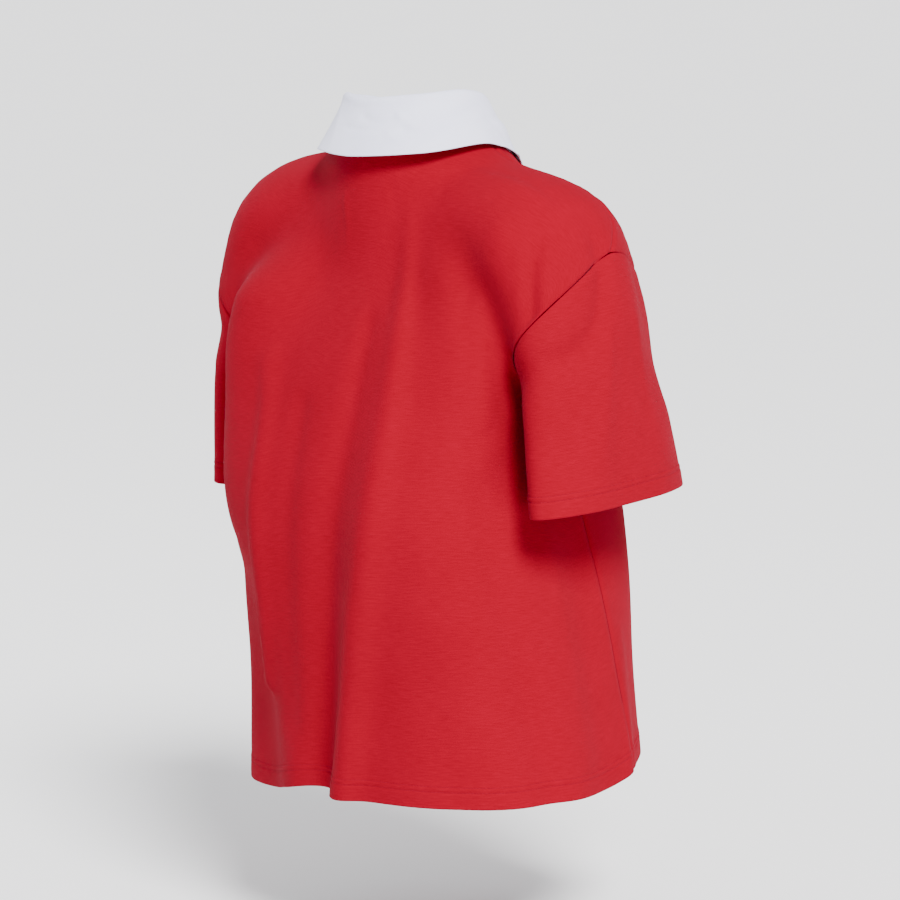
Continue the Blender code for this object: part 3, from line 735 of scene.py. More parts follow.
class ClothMesh:
    """Meshes of a cloth's wall, from its outer and inner faces."""

    @staticmethod
    def normals(grid: Points, closed: bool = False) -> Points:
        """Directions square to a grid of points, outwards.

        Args:
            grid: Points in columns and rows.
            closed: Whether the last column meets the first.

        Returns:
            A direction for each point.
        """
        along, down = np.gradient(grid, axis=0), np.gradient(grid, axis=1)
        if closed:
            along[0] = along[-1] = grid[1] - grid[-2]
        square = np.cross(along, down)
        return square / (np.linalg.norm(square, axis=-1, keepdims=True) + 1e-12)

    @staticmethod
    def wall(name: str, outer: Points, inner: Points, flat: Points, closed: bool = False,
             slit: Optional[tuple[int, int]] = None) -> bpy.types.Object:
        """A closed wall of cloth.

        Args:
            name: The piece's name.
            outer: Points of its outer face, in columns and rows.
            inner: Points of its inner face.
            flat: Where each point lies in the cloth, in metres, for the weave.
            closed: Whether the last column is sewn to the first.
            slit: The column left of a slit, and the row where the slit starts.

        Returns:
            The piece.
        """
        columns, rows = outer.shape[:2]
        work = bmesh.new()
        bmesh.ops.create_grid(work, x_segments=columns - 1, y_segments=rows - 1, size=1.0)
        place = work.verts.layers.int.new("place")
        cloth = work.loops.layers.uv.new("Cloth")
        for number, vertex in enumerate(work.verts):
            row, column = divmod(number, columns)
            vertex[place] = column * rows + row
            vertex.co = outer[column, row]
        flat_places = flat.reshape(-1, 2)
        for face in work.faces:
            for loop in face.loops:
                loop[cloth].uv = flat_places[loop.vert[place]]
        if slit:
            gone = [face for face in work.faces
                    if all(v[place] // rows in (slit[0], slit[0] + 1) and v[place] % rows >= slit[1]
                           for v in face.verts)]
            bmesh.ops.delete(work, geom=gone, context="FACES")
        if closed:
            bmesh.ops.remove_doubles(work, verts=work.verts[:], dist=1e-6)
        inner_places = inner.reshape(-1, 3)
        made = bmesh.ops.extrude_face_region(work, geom=work.faces[:], use_keep_orig=True)
        for item in made["geom"]:
            if isinstance(item, bmesh.types.BMVert):
                item.co = inner_places[item[place]]
        bmesh.ops.recalc_face_normals(work, faces=work.faces[:])
        return finished(work, name)


def spread(values: Points, places: Points, axis: int) -> Points:
    """A grid read at places between its points, on smooth curves.

    Args:
        values: The grid.
        places: Places along the axis, in its own steps.
        axis: The axis to read along.

    Returns:
        The grid at those places.
    """
    values = np.moveaxis(values, axis, 0)
    low = np.clip(np.floor(places).astype(int), 0, len(values) - 2)
    t = (places - low).reshape((-1,) + (1,) * (values.ndim - 1))
    before, after = np.maximum(low - 1, 0), np.minimum(low + 2, len(values) - 1)
    p0, p1, p2, p3 = values[before], values[low], values[low + 1], values[after]
    found = p1 + 0.5 * t * (p2 - p0 + t * (2 * p0 - 5 * p1 + 4 * p2 - p3 + t * (3 * (p1 - p2) + p3 - p0)))
    return np.moveaxis(found, 0, axis)


@dataclass
class Panel:
    """The front or the back of the body."""

    form: Form
    seams: Seams
    face: Face
    wall: float = 0.0022
    seam_gap: float = 0.0004
    hem: Hem = field(default_factory=Hem)
    fade_up: int = 6
    fade_across: int = 12
    laying_rounds: int = 12
    easing_rounds: int = 7
    side_steps: int = 13
    armhole_steps: int = 10
    shoulder_steps: int = 8
    neck_steps: int = 14
    side_points: int = 150
    armhole_points: int = 110
    rows_read: int = 150
    spacing: float = 0.0040
    placket_half_width: float = 0.0165
    slit_half_width: float = 0.0010
    slit_length: float = 0.148
    band_columns: int = 8
    beside_band: tuple[float, float] = (0.0004, 0.0020)
    # creases fade near the sleeve, above the armpit
    armpit_height: float = -0.214
    armpit_fade: float = 0.010
    crease_fade: float = 0.006
    creases: tuple[Fold, ...] = ()

    def edges(self, side_count: int, arm_count: int) -> tuple[Points, Points]:
        """Left and right edges from the hem to the shoulder.

        Args:
            side_count: Steps along the side seam.
            arm_count: Steps along the armhole.

        Returns:
            Points of the left edge and of the right one.
        """
        found = []
        for side in (Side.LEFT, Side.RIGHT):
            low = at_shares(self.seams.side(side), np.linspace(0, 1, side_count + 1))
            high = at_shares(self.seams.armhole(side, self.face), np.linspace(0, 1, arm_count + 1))
            found.append(np.vstack((low, high[1:])))
        return found[0], found[1]

    def top(self) -> tuple[Points, float]:
        """The panel's top edge.

        Returns:
            Left shoulder, neckline and right shoulder, and the share at the first neck corner.
        """
        left, right = self.seams.shoulder(Side.LEFT), self.seams.shoulder(Side.RIGHT)[::-1]
        turn = self.seams.shoulder_turn
        turns = np.linspace(-turn, turn - 360 if self.face is Face.FRONT else turn, 161)
        neck = self.seams.neckline((turns + 180) % 360 - 180)
        line = np.vstack((left, neck[1:-1], right))
        return line, run_of(left)[-1] / run_of(line)[-1]

    def coarse(self) -> tuple[Points, Points, Points]:
        """A wide-meshed grid eased over the form.

        Returns:
            The grid, and its columns' and rows' shares.
        """
        left, right = self.edges(self.side_steps, self.armhole_steps)
        line, corner = self.top()
        shoulder = np.linspace(0, corner, self.shoulder_steps + 1)
        neck = np.linspace(corner, 1 - corner, self.neck_steps + 1)
        shares = np.concatenate((shoulder, neck[1:-1], 1 - shoulder[::-1]))
        top, bottom = at_shares(line, shares), at_shares(self.seams.hem(self.face), shares)
        top[0], top[-1], bottom[0], bottom[-1] = left[-1], right[-1], left[0], right[0]
        u = shares[:, None, None]
        rows = 0.5 * (run_of(left) / run_of(left)[-1] + run_of(right) / run_of(right)[-1])
        v = rows[None, :, None]
        grid = ((1 - v) * bottom[:, None] + v * top[:, None] + (1 - u) * left[None] + u * right[None]
                - (1 - u) * (1 - v) * bottom[0] - u * (1 - v) * bottom[-1]
                - (1 - u) * v * top[0] - u * v * top[-1])
        inner = grid[1:-1, 1:-1]
        grid[1:-1, 1:-1] = self.form.laid(inner.reshape(-1, 3), self.laying_rounds).reshape(inner.shape)
        for _ in range(self.easing_rounds):
            eased = 0.5 * (self.between(grid, u, 0) + self.between(grid, v, 1))
            grid[1:-1, 1:-1] = self.form.laid(eased.reshape(-1, 3), 2).reshape(inner.shape)
        return grid, shares, rows

    @staticmethod
    def between(grid: Points, shares: Points, axis: int) -> Points:
        """Where the inner points would lie on straight lines between their neighbours.

        Args:
            grid: The grid.
            shares: Shares of its columns or rows.
            axis: The axis along which the neighbours lie.

        Returns:
            The inner points.
        """
        marks = shares.reshape(-1)
        share = (marks[1:-1] - marks[:-2]) / (marks[2:] - marks[:-2])
        if axis == 0:
            share = share[:, None, None]
            return grid[:-2, 1:-1] * (1 - share) + grid[2:, 1:-1] * share
        share = share[None, :, None]
        return grid[1:-1, :-2] * (1 - share) + grid[1:-1, 2:] * share

    def column_shares(self, width: float) -> Points:
        """Shares of the fine columns, closer at the side seams and at the placket.

        Args:
            width: Length of the panel's top edge.

        Returns:
            The share of each column.
        """
        near = SEAM_ROWS / width
        count = int(round((1 - 2 * near[-1]) * width / self.spacing))
        middle = np.linspace(near[-1], 1 - near[-1], count + 1)
        if self.face is Face.FRONT:
            half, slit = self.placket_half_width / width, self.slit_half_width / width
            band = np.linspace(slit, half, self.band_columns)
            edge = half + np.array(self.beside_band) / width
            middle = middle[np.abs(middle - 0.5) > edge[-1] + 0.6 * self.spacing / width]
            extra = np.concatenate((band, edge))
            middle = np.sort(np.concatenate((middle, 0.5 - extra, 0.5 + extra)))
        return np.concatenate((near[:-1], middle, 1 - near[:-1][::-1]))

    def fine(self) -> Points:
        """A fine grid on the form, its rows at even distances above those of the hem.

        Returns:
            Its points, in columns and rows.
        """
        grid, shares, rows = self.coarse()
        bottom, (line, _) = self.seams.hem(self.face), self.top()
        self.shares = self.column_shares(run_of(line)[-1])
        row_shares = np.linspace(0, 1, self.rows_read)
        places = np.interp(self.shares, shares, np.arange(len(shares)))
        row_places = np.interp(row_shares, rows, np.arange(len(rows)))
        grid = spread(spread(grid, places, 0), row_places, 1)
        row_lines = [at_marks(edge, np.interp(row_shares, rows, self.coarse_run(edge)))
                     for edge in self.edges(self.side_points, self.armhole_points)]
        low, high = at_shares(bottom, self.shares), at_shares(line, self.shares)
        grid = self.fitted(grid, low, high, *row_lines, row_shares)
        grid = self.even_rows(grid)
        inner = grid[1:-1, 1:-1]
        grid[1:-1, 1:-1] = self.form.laid(inner.reshape(-1, 3), 2).reshape(inner.shape)
        return grid

    def coarse_run(self, edge: Points) -> Points:
        """Distance along an edge of each of the wide-meshed grid's rows.

        Args:
            edge: Points of the edge.

        Returns:
            The distance of each row.
        """
        run = run_of(edge)
        corner = run[self.side_points]
        return np.concatenate((np.linspace(0, corner, self.side_steps + 1),
                               np.linspace(corner, run[-1], self.armhole_steps + 1)[1:]))

    def fitted(self, grid: Points, bottom: Points, top: Points, left: Points, right: Points,
               rows: Points) -> Points:
        """The grid with its edges moved onto the seams, and its inner points with them.

        Args:
            grid: The grid.
            bottom: Points of the hem.
            top: Points of the top edge.
            left: Points of the left edge.
            right: Points of the right edge.
            rows: Shares of the rows.

        Returns:
            The fitted grid.
        """
        u, v = self.shares[:, None, None], rows[None, :, None]
        low, high = (bottom - grid[:, 0])[:, None], (top - grid[:, -1])[:, None]
        near, far = (left - grid[0])[None], (right - grid[-1])[None]
        fade_low, fade_high = (1 - v) ** self.fade_up, v ** self.fade_up
        fade_near, fade_far = (1 - u) ** self.fade_across, u ** self.fade_across
        moved = low * fade_low + high * fade_high
        return grid + moved + (near - moved[0]) * fade_near + (far - moved[-1]) * fade_far

    def even_rows(self, grid: Points) -> Points:
        """Each column read at the hem's rows, then at even distances up to its top.

        Args:
            grid: The grid.

        Returns:
            The grid with its new rows.
        """
        near, top = self.hem.rows(), SEAM_ROWS
        length = np.median([run_of(column)[-1] for column in grid])
        count = int(round((length - near[-1]) / self.spacing))
        found = []
        for column in grid:
            whole = run_of(column)[-1]
            middle = np.linspace(near[-1], whole - top[-1], count + 1)
            marks = np.concatenate((near[:-1], middle, (whole - top[:-1])[::-1]))
            found.append(at_marks(column, marks))
        return np.array(found)

    def build(self) -> bpy.types.Object:
        """Build the panel.

        Returns:
            The piece.
        """
        grid = self.fine()
        out = ClothMesh.normals(grid)
        if np.mean(np.einsum("ijk,ijk->ij", out, grid - grid.mean(axis=(0, 1)))) < 0:
            out = -out
        up, across = runs_down(grid), runs_across(grid)
        from_side, from_top = np.minimum(across, across[-1] - across), up[:, -1:] - up
        flat = np.stack((across - across[-1] / 2, up), axis=-1)
        turn = np.degrees(np.arctan2(-grid[..., 0], grid[..., 1] - self.form.body.at(4, grid[..., 2])))
        rise = self.hem.relief(up, across) + seam_dip(from_side) + seam_dip(from_top)
        creased = fold_rise(self.creases, turn.ravel(), grid[..., 2].ravel(), self.form.body_fold_radius)
        near_sleeve = np.exp(-(from_side / self.crease_fade) ** 2)
        near_sleeve *= np.clip((grid[..., 2] - self.armpit_height) / self.armpit_fade + 1, 0, 1)
        rise += creased.reshape(turn.shape) * (1 - near_sleeve)
        self.surface, self.out = grid + rise[..., None] * out, out
        outer = self.surface + rounded_edge(up)[..., None] * out
        inner = self.surface - self.hem.wall(up, self.wall)[..., None] * out
        outer, inner = self.drawn_back(outer), self.drawn_back(inner)
        slit = self.slit_place() if self.face is Face.FRONT else None
        piece = ClothMesh.wall(self.face.value + "_cloth", outer, inner, flat, slit=slit)
        LOG.info("%s: %d columns, %d rows", piece.name, *grid.shape[:2])
        return piece

    def drawn_back(self, grid: Points) -> Points:
        """The grid with its sewn edges drawn back by half the gap between pieces.

        Args:
            grid: The grid.

        Returns:
            The grid with its new edges.
        """
        grid, whole, half = grid.copy(), grid, 0.5 * self.seam_gap
        for edge, inner in (((0,), (3,)), ((-1,), (-4,)), ((slice(None), -1), (slice(None), -4))):
            away = whole[inner] - whole[edge]
            grid[edge] += half * away / np.linalg.norm(away, axis=-1, keepdims=True)
        return grid

    def slit_place(self) -> tuple[int, int]:
        """Where the slit lies.

        Returns:
            The column left of the slit, and the row where the slit starts.
        """
        column = int(np.searchsorted(self.shares, 0.5)) - 1
        run = run_of(self.surface[column])
        return column, int(np.argmin(np.abs(run[-1] - run - self.slit_length)))


@dataclass
class Sleeve:
    """A short sleeve, a tube of cloth closed under the arm."""

    form: Form
    seams: Seams
    side: Side
    wall: float = 0.0022
    draw: float = 0.0006
    underarm_dip: float = 0.7
    hem: Hem = field(default_factory=Hem)
    columns: int = 96
    row_steps: int = 40
    reach: float = 0.16
    # how fast the armhole's shape fades along the sleeve, on its outer side and under the arm
    hole_fades: tuple[float, float] = (3.0, 10.0)
    spacing: float = 0.0040
    creases: tuple[Fold, ...] = ()

    def hole(self) -> tuple[Points, Points]:
        """The armhole from under the arm, back side first.

        Returns:
            Its points, and the turn of each round the arm.
        """
        back, front = self.seams.armhole(self.side, Face.BACK), self.seams.armhole(self.side, Face.FRONT)
        seam = np.vstack((back, front[::-1][1:]))
        return seam, np.linspace(180, -180, len(seam))

    def grid(self) -> Points:
        """The sleeve's points.

        Returns:
            The points, in columns round the arm and rows from the armhole to the cuff.
        """
        seam, seam_turns = self.hole()
        shares = np.linspace(0, 1, self.columns + 1)
        places = np.interp(shares * run_of(seam)[-1], run_of(seam), np.arange(len(seam)))
        hole_turns = np.interp(places, np.arange(len(seam)), seam_turns)
        hole = at_shares(seam, shares)
        cuff_turns = np.linspace(180, -180, self.columns + 1)
        length = self.seams.cuff_along[self.side] - self.seams.armhole_along
        slow, fast = self.hole_fades
        fade = slow + (fast - slow) * (hole_turns[:, None] / 180) ** 2
        rows = []
        for share in np.linspace(0, 1, self.row_steps + 1):
            along = self.seams.armhole_along + length * share
            turns = hole_turns * (1 - share) + cuff_turns * share
            starts, hole_rays = self.seams.rays_round(self.side, along, self.seams.armhole_ray, turns)
            cuff_rays = self.seams.rays_round(self.side, along, self.seams.cuff_ray, turns)[1]
            row = self.form.first_exit(starts, hole_rays * (1 - share) + cuff_rays * share,
                                       lambda points: self.form.arm_field(points, self.side), self.reach, 20)
            if not rows:
                off = hole - row
            rows.append(row + off * (1 - share) ** fade)
        grid = np.stack(rows, axis=1)
        near, hem = SEAM_ROWS, self.hem.rows()
        count = int(round((np.median([run_of(c)[-1] for c in grid]) - near[-1] - hem[-1]) / self.spacing))
        found = []
        for column in grid:
            whole = run_of(column)[-1]
            middle = np.linspace(near[-1], whole - hem[-1], count + 1)
            found.append(at_marks(column, np.concatenate((near[:-1], middle, (whole - hem[:-1])[::-1]))))
        return np.array(found)

    def build(self) -> bpy.types.Object:
        """Build the sleeve.

        Returns:
            The piece.
        """
        grid = self.grid()
        grid[-1] = grid[0]
        out = ClothMesh.normals(grid, closed=True)
        middle = grid.mean(axis=0)[None]
        if np.mean(np.einsum("ijk,ijk->ij", out, grid - middle)) < 0:
            out = -out
        run, around = runs_down(grid), runs_across(grid)
        from_cuff, from_seam = run[:, -1:] - run, np.minimum(around, around[-1] - around)
        rise = self.hem.relief(from_cuff, around) + seam_dip(run) + self.underarm_dip * seam_dip(from_seam)
        off = grid - middle
        turn = np.degrees(np.arctan2(off[..., 1], off[..., 0] * self.side.value))
        creased = fold_rise(self.creases, turn.ravel(), grid[..., 2].ravel(), self.form.arm_fold_radius)
        rise += creased.reshape(turn.shape)
        rise[-1] = rise[0]
        self.surface, self.out = grid + rise[..., None] * out, out
        outer = self.surface + rounded_edge(from_cuff)[..., None] * out
        inner = self.surface - self.hem.wall(from_cuff, self.wall)[..., None] * out
        for face in (outer, inner):
            away = face[:, 3] - face[:, 0]
            face[:, 0] += self.draw * away / np.linalg.norm(away, axis=-1, keepdims=True)
        flat = np.stack((around - around[-1] / 2, from_cuff), axis=-1)
        name = f"sleeve_{self.side.name.lower()}_cloth"
        piece = ClothMesh.wall(name, outer, inner, flat, closed=True)
        LOG.info("%s: %d columns, %d rows", name, *grid.shape[:2])
        return piece


@dataclass
class Placket:
    """The two bands at the neck opening, with their stitching and buttons."""

    front: Panel
    wall: float = 0.0016
    gap: float = 0.0004
    rows_below_slit: int = 3
    edge_radius: float = 0.0007
    edge_stitch: float = 0.0018
    stitch_sink: float = 0.00025
    stitch_width: float = 0.0007
    button_heights: tuple[float, ...] = (-0.092, -0.134, -0.176)
    button_radius: float = 0.0057
    button_thickness: float = 0.0026
    button_lift: float = 0.0006
    rim_share: float = 0.20
    slope_share: float = 0.10
    rim_bevel: float = 0.0004
    well_depth: float = 0.0007
    thread_apart: float = 0.0011
    thread_end_radius: float = 0.00055
    bar_depth: float = 0.0003
    bar_radius: float = 0.00035
    bar_length: float = 0.0024

    def strip(self) -> tuple[Points, Points]:
        """The front's own points under the band.

        Returns:
            The points, in columns and rows, and their directions outwards.
        """
        row = self.front.slit_place()[1]
        shares = self.front.shares
        half = self.front.placket_half_width / run_of(self.front.top()[0])[-1]
        picked = np.nonzero(np.abs(shares - 0.5) <= half * 1.001)[0]
        part = slice(picked[0], picked[-1] + 1), slice(row - self.rows_below_slit, None)
        return self.front.surface[part], self.front.out[part]

    def band(self, name: str, low: float, high: float) -> bpy.types.Object:
        """A band between two distances from the front's outer face.

        Args:
            name: The piece's name.
            low: Distance of its back.
            high: Distance of its face.

        Returns:
            The piece.
        """
        points, out = self.strip()
        across, up = runs_across(points), runs_down(points)
        edge = np.minimum(np.minimum(across, across[-1] - across), np.minimum(up, up[:, -1:] - up))
        stitch = -self.stitch_sink * np.exp(-((edge - self.edge_stitch) / self.stitch_width) ** 2)
        face = points + (high + rounded_edge(edge, self.edge_radius) + stitch)[..., None] * out
        back = points + low * out
        flat = np.stack((across, up), axis=-1)
        return ClothMesh.wall(name, face, back, flat)

    def outline(self) -> tuple[Points, Points]:
        """The edge stitching of the upper band.

        Returns:
            Points of its line, and their directions outwards.
        """
        points, out = self.strip()
        lift = self.gap + self.wall
        low, inset = 2, self.edge_stitch
        across = runs_across(points)[:, low]
        away = points[-1, low:] - points[0, low:]
        away *= inset / np.linalg.norm(away, axis=-1, keepdims=True)
        foot = points[:, low][(across > inset) & (across[-1] - across > inset)]
        line = np.vstack(((points[0, low:] + away)[::-1], foot, points[-1, low:] - away))
        direction = out[len(out) // 2, len(out[0]) // 2]
        return line + lift * direction, np.tile(direction, (len(line), 1))

    def button_spot(self, height: float) -> Matrix:
        """Where a button sits.

        Args:
            height: Its height.

        Returns:
            The middle of the button, its face along Z.
        """
        form = self.front.form
        start = np.array(((0.0, form.body.at(4, height), height),))
        point = form.first_exit(start, np.array(((0.0, -1.0, 0.0),)), form.whole)
        out = form.outward(point)[0]
        lift = self.gap + self.wall + self.button_lift + self.button_thickness / 2
        turn = Vector(out).to_track_quat("Z", "Y").to_matrix().to_4x4()
        return Matrix.Translation(Vector(point[0] + lift * out)) @ turn

    def disc(self, spot: Matrix) -> bmesh.types.BMesh:
        """A round button with a rim.

        Args:
            spot: Where it sits.

        Returns:
            Its mesh.
        """
        radius = self.button_radius
        work = bmesh.new()
        bmesh.ops.create_cone(work, cap_ends=True, segments=48, radius1=radius, radius2=radius,
                              depth=self.button_thickness)
        top = [f for f in work.faces if f.normal.z > 0.9]
        bmesh.ops.inset_region(work, faces=top, thickness=radius * self.rim_share, depth=0)
        top = [f for f in work.faces if f.normal.z > 0.9 and len(f.verts) > 4]
        bmesh.ops.inset_region(work, faces=top, thickness=radius * self.slope_share, depth=-self.well_depth)
        rims = [e for e in work.edges if e.calc_length() < radius * 0.2 and e.is_manifold
                and abs(e.verts[0].co.z - e.verts[1].co.z) < 1e-6 and e.calc_face_angle(0) > 0.3]
        bmesh.ops.bevel(work, geom=rims, offset=self.rim_bevel, segments=2, profile=0.5, affect="EDGES",
                        material=-1)
        bmesh.ops.transform(work, matrix=spot, verts=work.verts[:])
        return work

    def knots(self, spot: Matrix) -> bmesh.types.BMesh:
        """The thread that holds a button: four ends and the two bars between them.

        Args:
            spot: Where the button sits.

        Returns:
            Its mesh.
        """
        apart, half = self.thread_apart, self.button_thickness / 2
        work = bmesh.new()
        for x, y in ((-1, -1), (1, -1), (1, 1), (-1, 1)):
            end = Matrix.Translation((x * apart, y * apart, half - self.well_depth))
            bmesh.ops.create_cone(work, cap_ends=True, segments=12, radius1=self.thread_end_radius,
                                  radius2=self.thread_end_radius, depth=0.0002, matrix=spot @ end)
        for y in (-1, 1):
            bar = Matrix.Translation((0, y * apart, half - self.bar_depth))
            bmesh.ops.create_cone(work, cap_ends=True, segments=10, radius1=self.bar_radius,
                                  radius2=self.bar_radius, depth=self.bar_length,
                                  matrix=spot @ bar @ Matrix.Rotation(math.pi / 2, 4, "Y"))
        return work

    def button(self, number: int, height: float) -> list[bpy.types.Object]:
        """A button and its thread.

        Args:
            number: Which button.
            height: Its height.

        Returns:
            The button and its thread.
        """
        spot = self.button_spot(height)
        return [finished(self.disc(spot), f"button_{number}_disc"),
                finished(self.knots(spot), f"button_{number}_thread")]


@dataclass
class Collar:
    """The collar: a stand sewn to the neckline, and the leaf turned down over it."""

    form: Form
    seams: Seams
    wall: float = 0.0014
    gap: float = 0.0009
    seam_gap: float = 0.0003
    fold_over: float = 0.0030
    inner_leg: float = 0.011
    clearance: float = 0.0032
    # turn, fold height, fold radius, fall, flare, turn at the edge
    sections: tuple = (
        (0, 0.049, 0.0640, 0.052, 0.026, 0),
        (45, 0.052, 0.0640, 0.053, 0.027, 45),
        (90, 0.050, 0.0610, 0.0500, 0.023, 92),
        (120, 0.038, 0.0570, 0.056, 0.020, 118),
        (150, 0.009, 0.0575, 0.064, 0.020, 138),
        (180, -0.021, 0.0630, 0.072, 0.020, 153),
    )
    wrinkles: tuple[Fold, ...] = (
        Fold((-12, 8, 36), (0.0245, 0.0230, 0.0235), (0.0020, 0.0022), (-0.0011, -0.0010)),
        Fold((30, 36, 47), (0.0360, 0.0300, 0.0240), (0.0024, 0.0030), (0.0014, 0.0010)),
        Fold((33, 42, 54), (0.0230, 0.0190, 0.0110), (0.0026, 0.0032), (-0.0014, -0.0006)),
        Fold((24, 30, 36), (0.0200, 0.0150, 0.0120), (0.0030, 0.0030), (0.0012, 0.0006)),
        Fold((2, 16, 26), (0.0330, 0.0290, 0.0300), (0.0040, 0.0040), (-0.0012, -0.0008)),
        Fold((-30, -24, -20), (0.0380, 0.0250, 0.0120), (0.0050, 0.0060), (0.0008, 0.0006)),
        Fold((-62, -55, -50), (0.0350, 0.0230, 0.0120), (0.0045, 0.0055), (-0.0007, -0.0005)),
        Fold((100, 108, 112), (0.0250, 0.0130, 0.0000), (0.0045, 0.0060), (-0.0008, -0.0006)),
        Fold((-104, -112, -120), (0.0250, 0.0100, -0.0080), (0.0050, 0.0060), (0.0009, 0.0006)),
    )
    # turn, how much lower the fold lies, how much wider
    unevenness: tuple = (
        (-180, 0.000, 0.0000), (-140, 0.003, 0.0000), (-100, 0.009, 0.0000), (-65, 0.007, 0.0000),
        (-32, 0.000, 0.0000), (-10, 0.000, 0.0000), (0, 0.000, 0.0000), (60, 0.000, 0.0000),
        (95, -0.001, 0.0010), (120, -0.002, 0.0040), (142, 0.000, 0.0045), (165, 0.000, 0.0020),
        (180, 0.000, 0.0000),
    )
    turn_step: float = 2.0
    last_turn: float = 178.5
    stand_rows: int = 15
    stitch_height: float = 0.0030
    stitch_sink: float = 0.0003
    edge_radius: float = 0.0007
    # rows of the leaf: inner leg, turns over the fold, shares of the fall
    leg_rows: int = 6
    fold_turns: tuple[float, ...] = (150, 120, 90, 60, 30)
    fall_shares: tuple[float, ...] = (*np.linspace(0, 0.965, 22), 0.985, 0.995, 1.0)
    wrinkle_radius: float = 0.08
    wrinkle_fade: float = 0.006

    def __post_init__(self) -> None:
        """Make the tables and the neckline that the stand is sewn to."""
        self.table, self.uneven = Table(self.sections), Table(self.unevenness)
        end = self.last_turn
        self.turns = np.linspace(-end, end, int(2 * end / self.turn_step) + 1)
        self.ring = self.seams.neckline(self.turns)

    def crest(self, turns: Points) -> Points:
        """Height of the fold at each turn."""
        return self.table.at(1, np.abs(turns)) - self.uneven.at(1, turns)

    def radius(self, turns: Points) -> Points:
        """Radius of the fold at each turn."""
        return self.table.at(2, np.abs(turns)) + self.uneven.at(2, turns)

    @staticmethod
    def around(turns: Points, radius: Points, height: Points) -> Points:
        """Points at a distance from the neck's axis."""
        angle = np.radians(turns)
        return np.column_stack((-np.sin(angle) * radius, np.cos(angle) * radius, height))

    def build_stand(self) -> bpy.types.Object:
        """Build the stand.

        Returns:
            The piece.
        """
        base = self.ring + (0, 0, self.seam_gap)
        top = self.around(self.turns, self.radius(self.turns), self.crest(self.turns) - self.fold_over)
        shares = np.linspace(0, 1, self.stand_rows)
        outer = np.stack([base * (1 - share) + top * share for share in shares], axis=1)
        radial = outer * (1, 1, 0)
        radial = radial / np.linalg.norm(radial, axis=-1, keepdims=True)
        run, around = runs_down(outer), runs_across(outer)
        stitch = -self.stitch_sink * np.exp(-((run - self.stitch_height) / self.edge_radius) ** 2)
        outer = outer + stitch[..., None] * radial
        inner = outer - self.wall * radial
        return ClothMesh.wall("collar_stand_cloth", outer, inner, np.stack((around, run), axis=-1))

    def stand_radius(self, turns: Points, heights: Points) -> Points:
        """Outer radius of the stand.

        Args:
            turns: Turns from the centre back, towards the right.
            heights: A height for each turn.

        Returns:
            The radius at each turn.
        """
        low_radius = np.interp(turns, self.turns, np.hypot(self.ring[:, 0], self.ring[:, 1]))
        low = np.interp(turns, self.turns, self.ring[:, 2])
        share = np.clip((heights - low) / (self.crest(turns) - self.fold_over - low), 0, 1)
        return low_radius * (1 - share) + self.radius(turns) * share

    def leaf_grid(self) -> Points:
        """The leaf's points.

        Returns:
            The points, in columns round the neck and rows from the inner leg over the fold to the edge.
        """
        turns, level, hand = self.turns, np.abs(self.turns), np.sign(self.turns)
        radius, crest = self.radius(turns), self.crest(turns)
        inside, outside = -2 * self.wall - self.gap, self.gap + self.wall
        rows = []
        for share in np.linspace(1, 0, self.leg_rows):
            rows.append(self.around(turns, radius + inside, crest - self.fold_over - self.inner_leg * share))
        middle, half = 0.5 * (inside + outside), 0.5 * (outside - inside)
        for angle in np.radians(self.fold_turns):
            out = radius + middle + half * math.cos(angle)
            rows.append(self.around(turns, out, crest - self.fold_over + self.fold_over * math.sin(angle)))
        flare, fall = self.table.at(4, level), self.table.at(3, level)
        drop, edge_turn = np.sqrt(fall ** 2 - flare ** 2), self.table.at(5, level)
        for share in self.fall_shares:
            swung = hand * (level + (edge_turn - level) * share ** 1.5)
            height = crest - self.fold_over - drop * share
            least = self.stand_radius(swung, height) + outside + self.gap
            row = self.around(swung, np.maximum(radius + outside + flare * share ** 1.15, least), height)
            freed = np.clip(4 * share - 1, 0, 1)
            for _ in range(3):
                short = freed * np.maximum(0, self.clearance - self.form.whole(row))
                row = row + short[:, None] * self.form.outward(row)
            rows.append(row)
        grid = np.stack(rows, axis=1)
        first = self.leg_rows + len(self.fold_turns) + 1
        for _ in range(2):
            near = (grid[:-2, first:-1] + grid[2:, first:-1]
                    + grid[1:-1, first - 1:-2] + grid[1:-1, first + 1:])
            grid[1:-1, first:-1] = 0.5 * grid[1:-1, first:-1] + 0.125 * near
        return grid

    def build_leaf(self) -> bpy.types.Object:
        """Build the leaf.

        Returns:
            The piece.
        """
        grid = self.leaf_grid()
        out = ClothMesh.normals(grid)
        middle = len(grid) // 2
        if np.dot(out[middle, -1], grid[middle, -1] * (1, 1, 0)) < 0:
            out = -out
        run, around = runs_down(grid), runs_across(grid)
        turn = np.degrees(np.arctan2(-grid[..., 0], grid[..., 1]))
        rise = fold_rise(self.wrinkles, turn.ravel(), grid[..., 2].ravel(), self.wrinkle_radius)
        folded = run[:, self.leg_rows + len(self.fold_turns) - 1, None]
        rise = rise.reshape(turn.shape) * np.clip((run - folded) / self.wrinkle_fade, 0, 1)
        edge = np.minimum(run[:, -1:] - run, np.minimum(around, around[-1] - around))
        rounded = rounded_edge(edge, self.edge_radius)
        outer = grid + (rise + rounded)[..., None] * out
        inner = grid + (rise - self.wall - rounded)[..., None] * out
        return ClothMesh.wall("collar_leaf_cloth", outer, inner, np.stack((around, run), axis=-1))


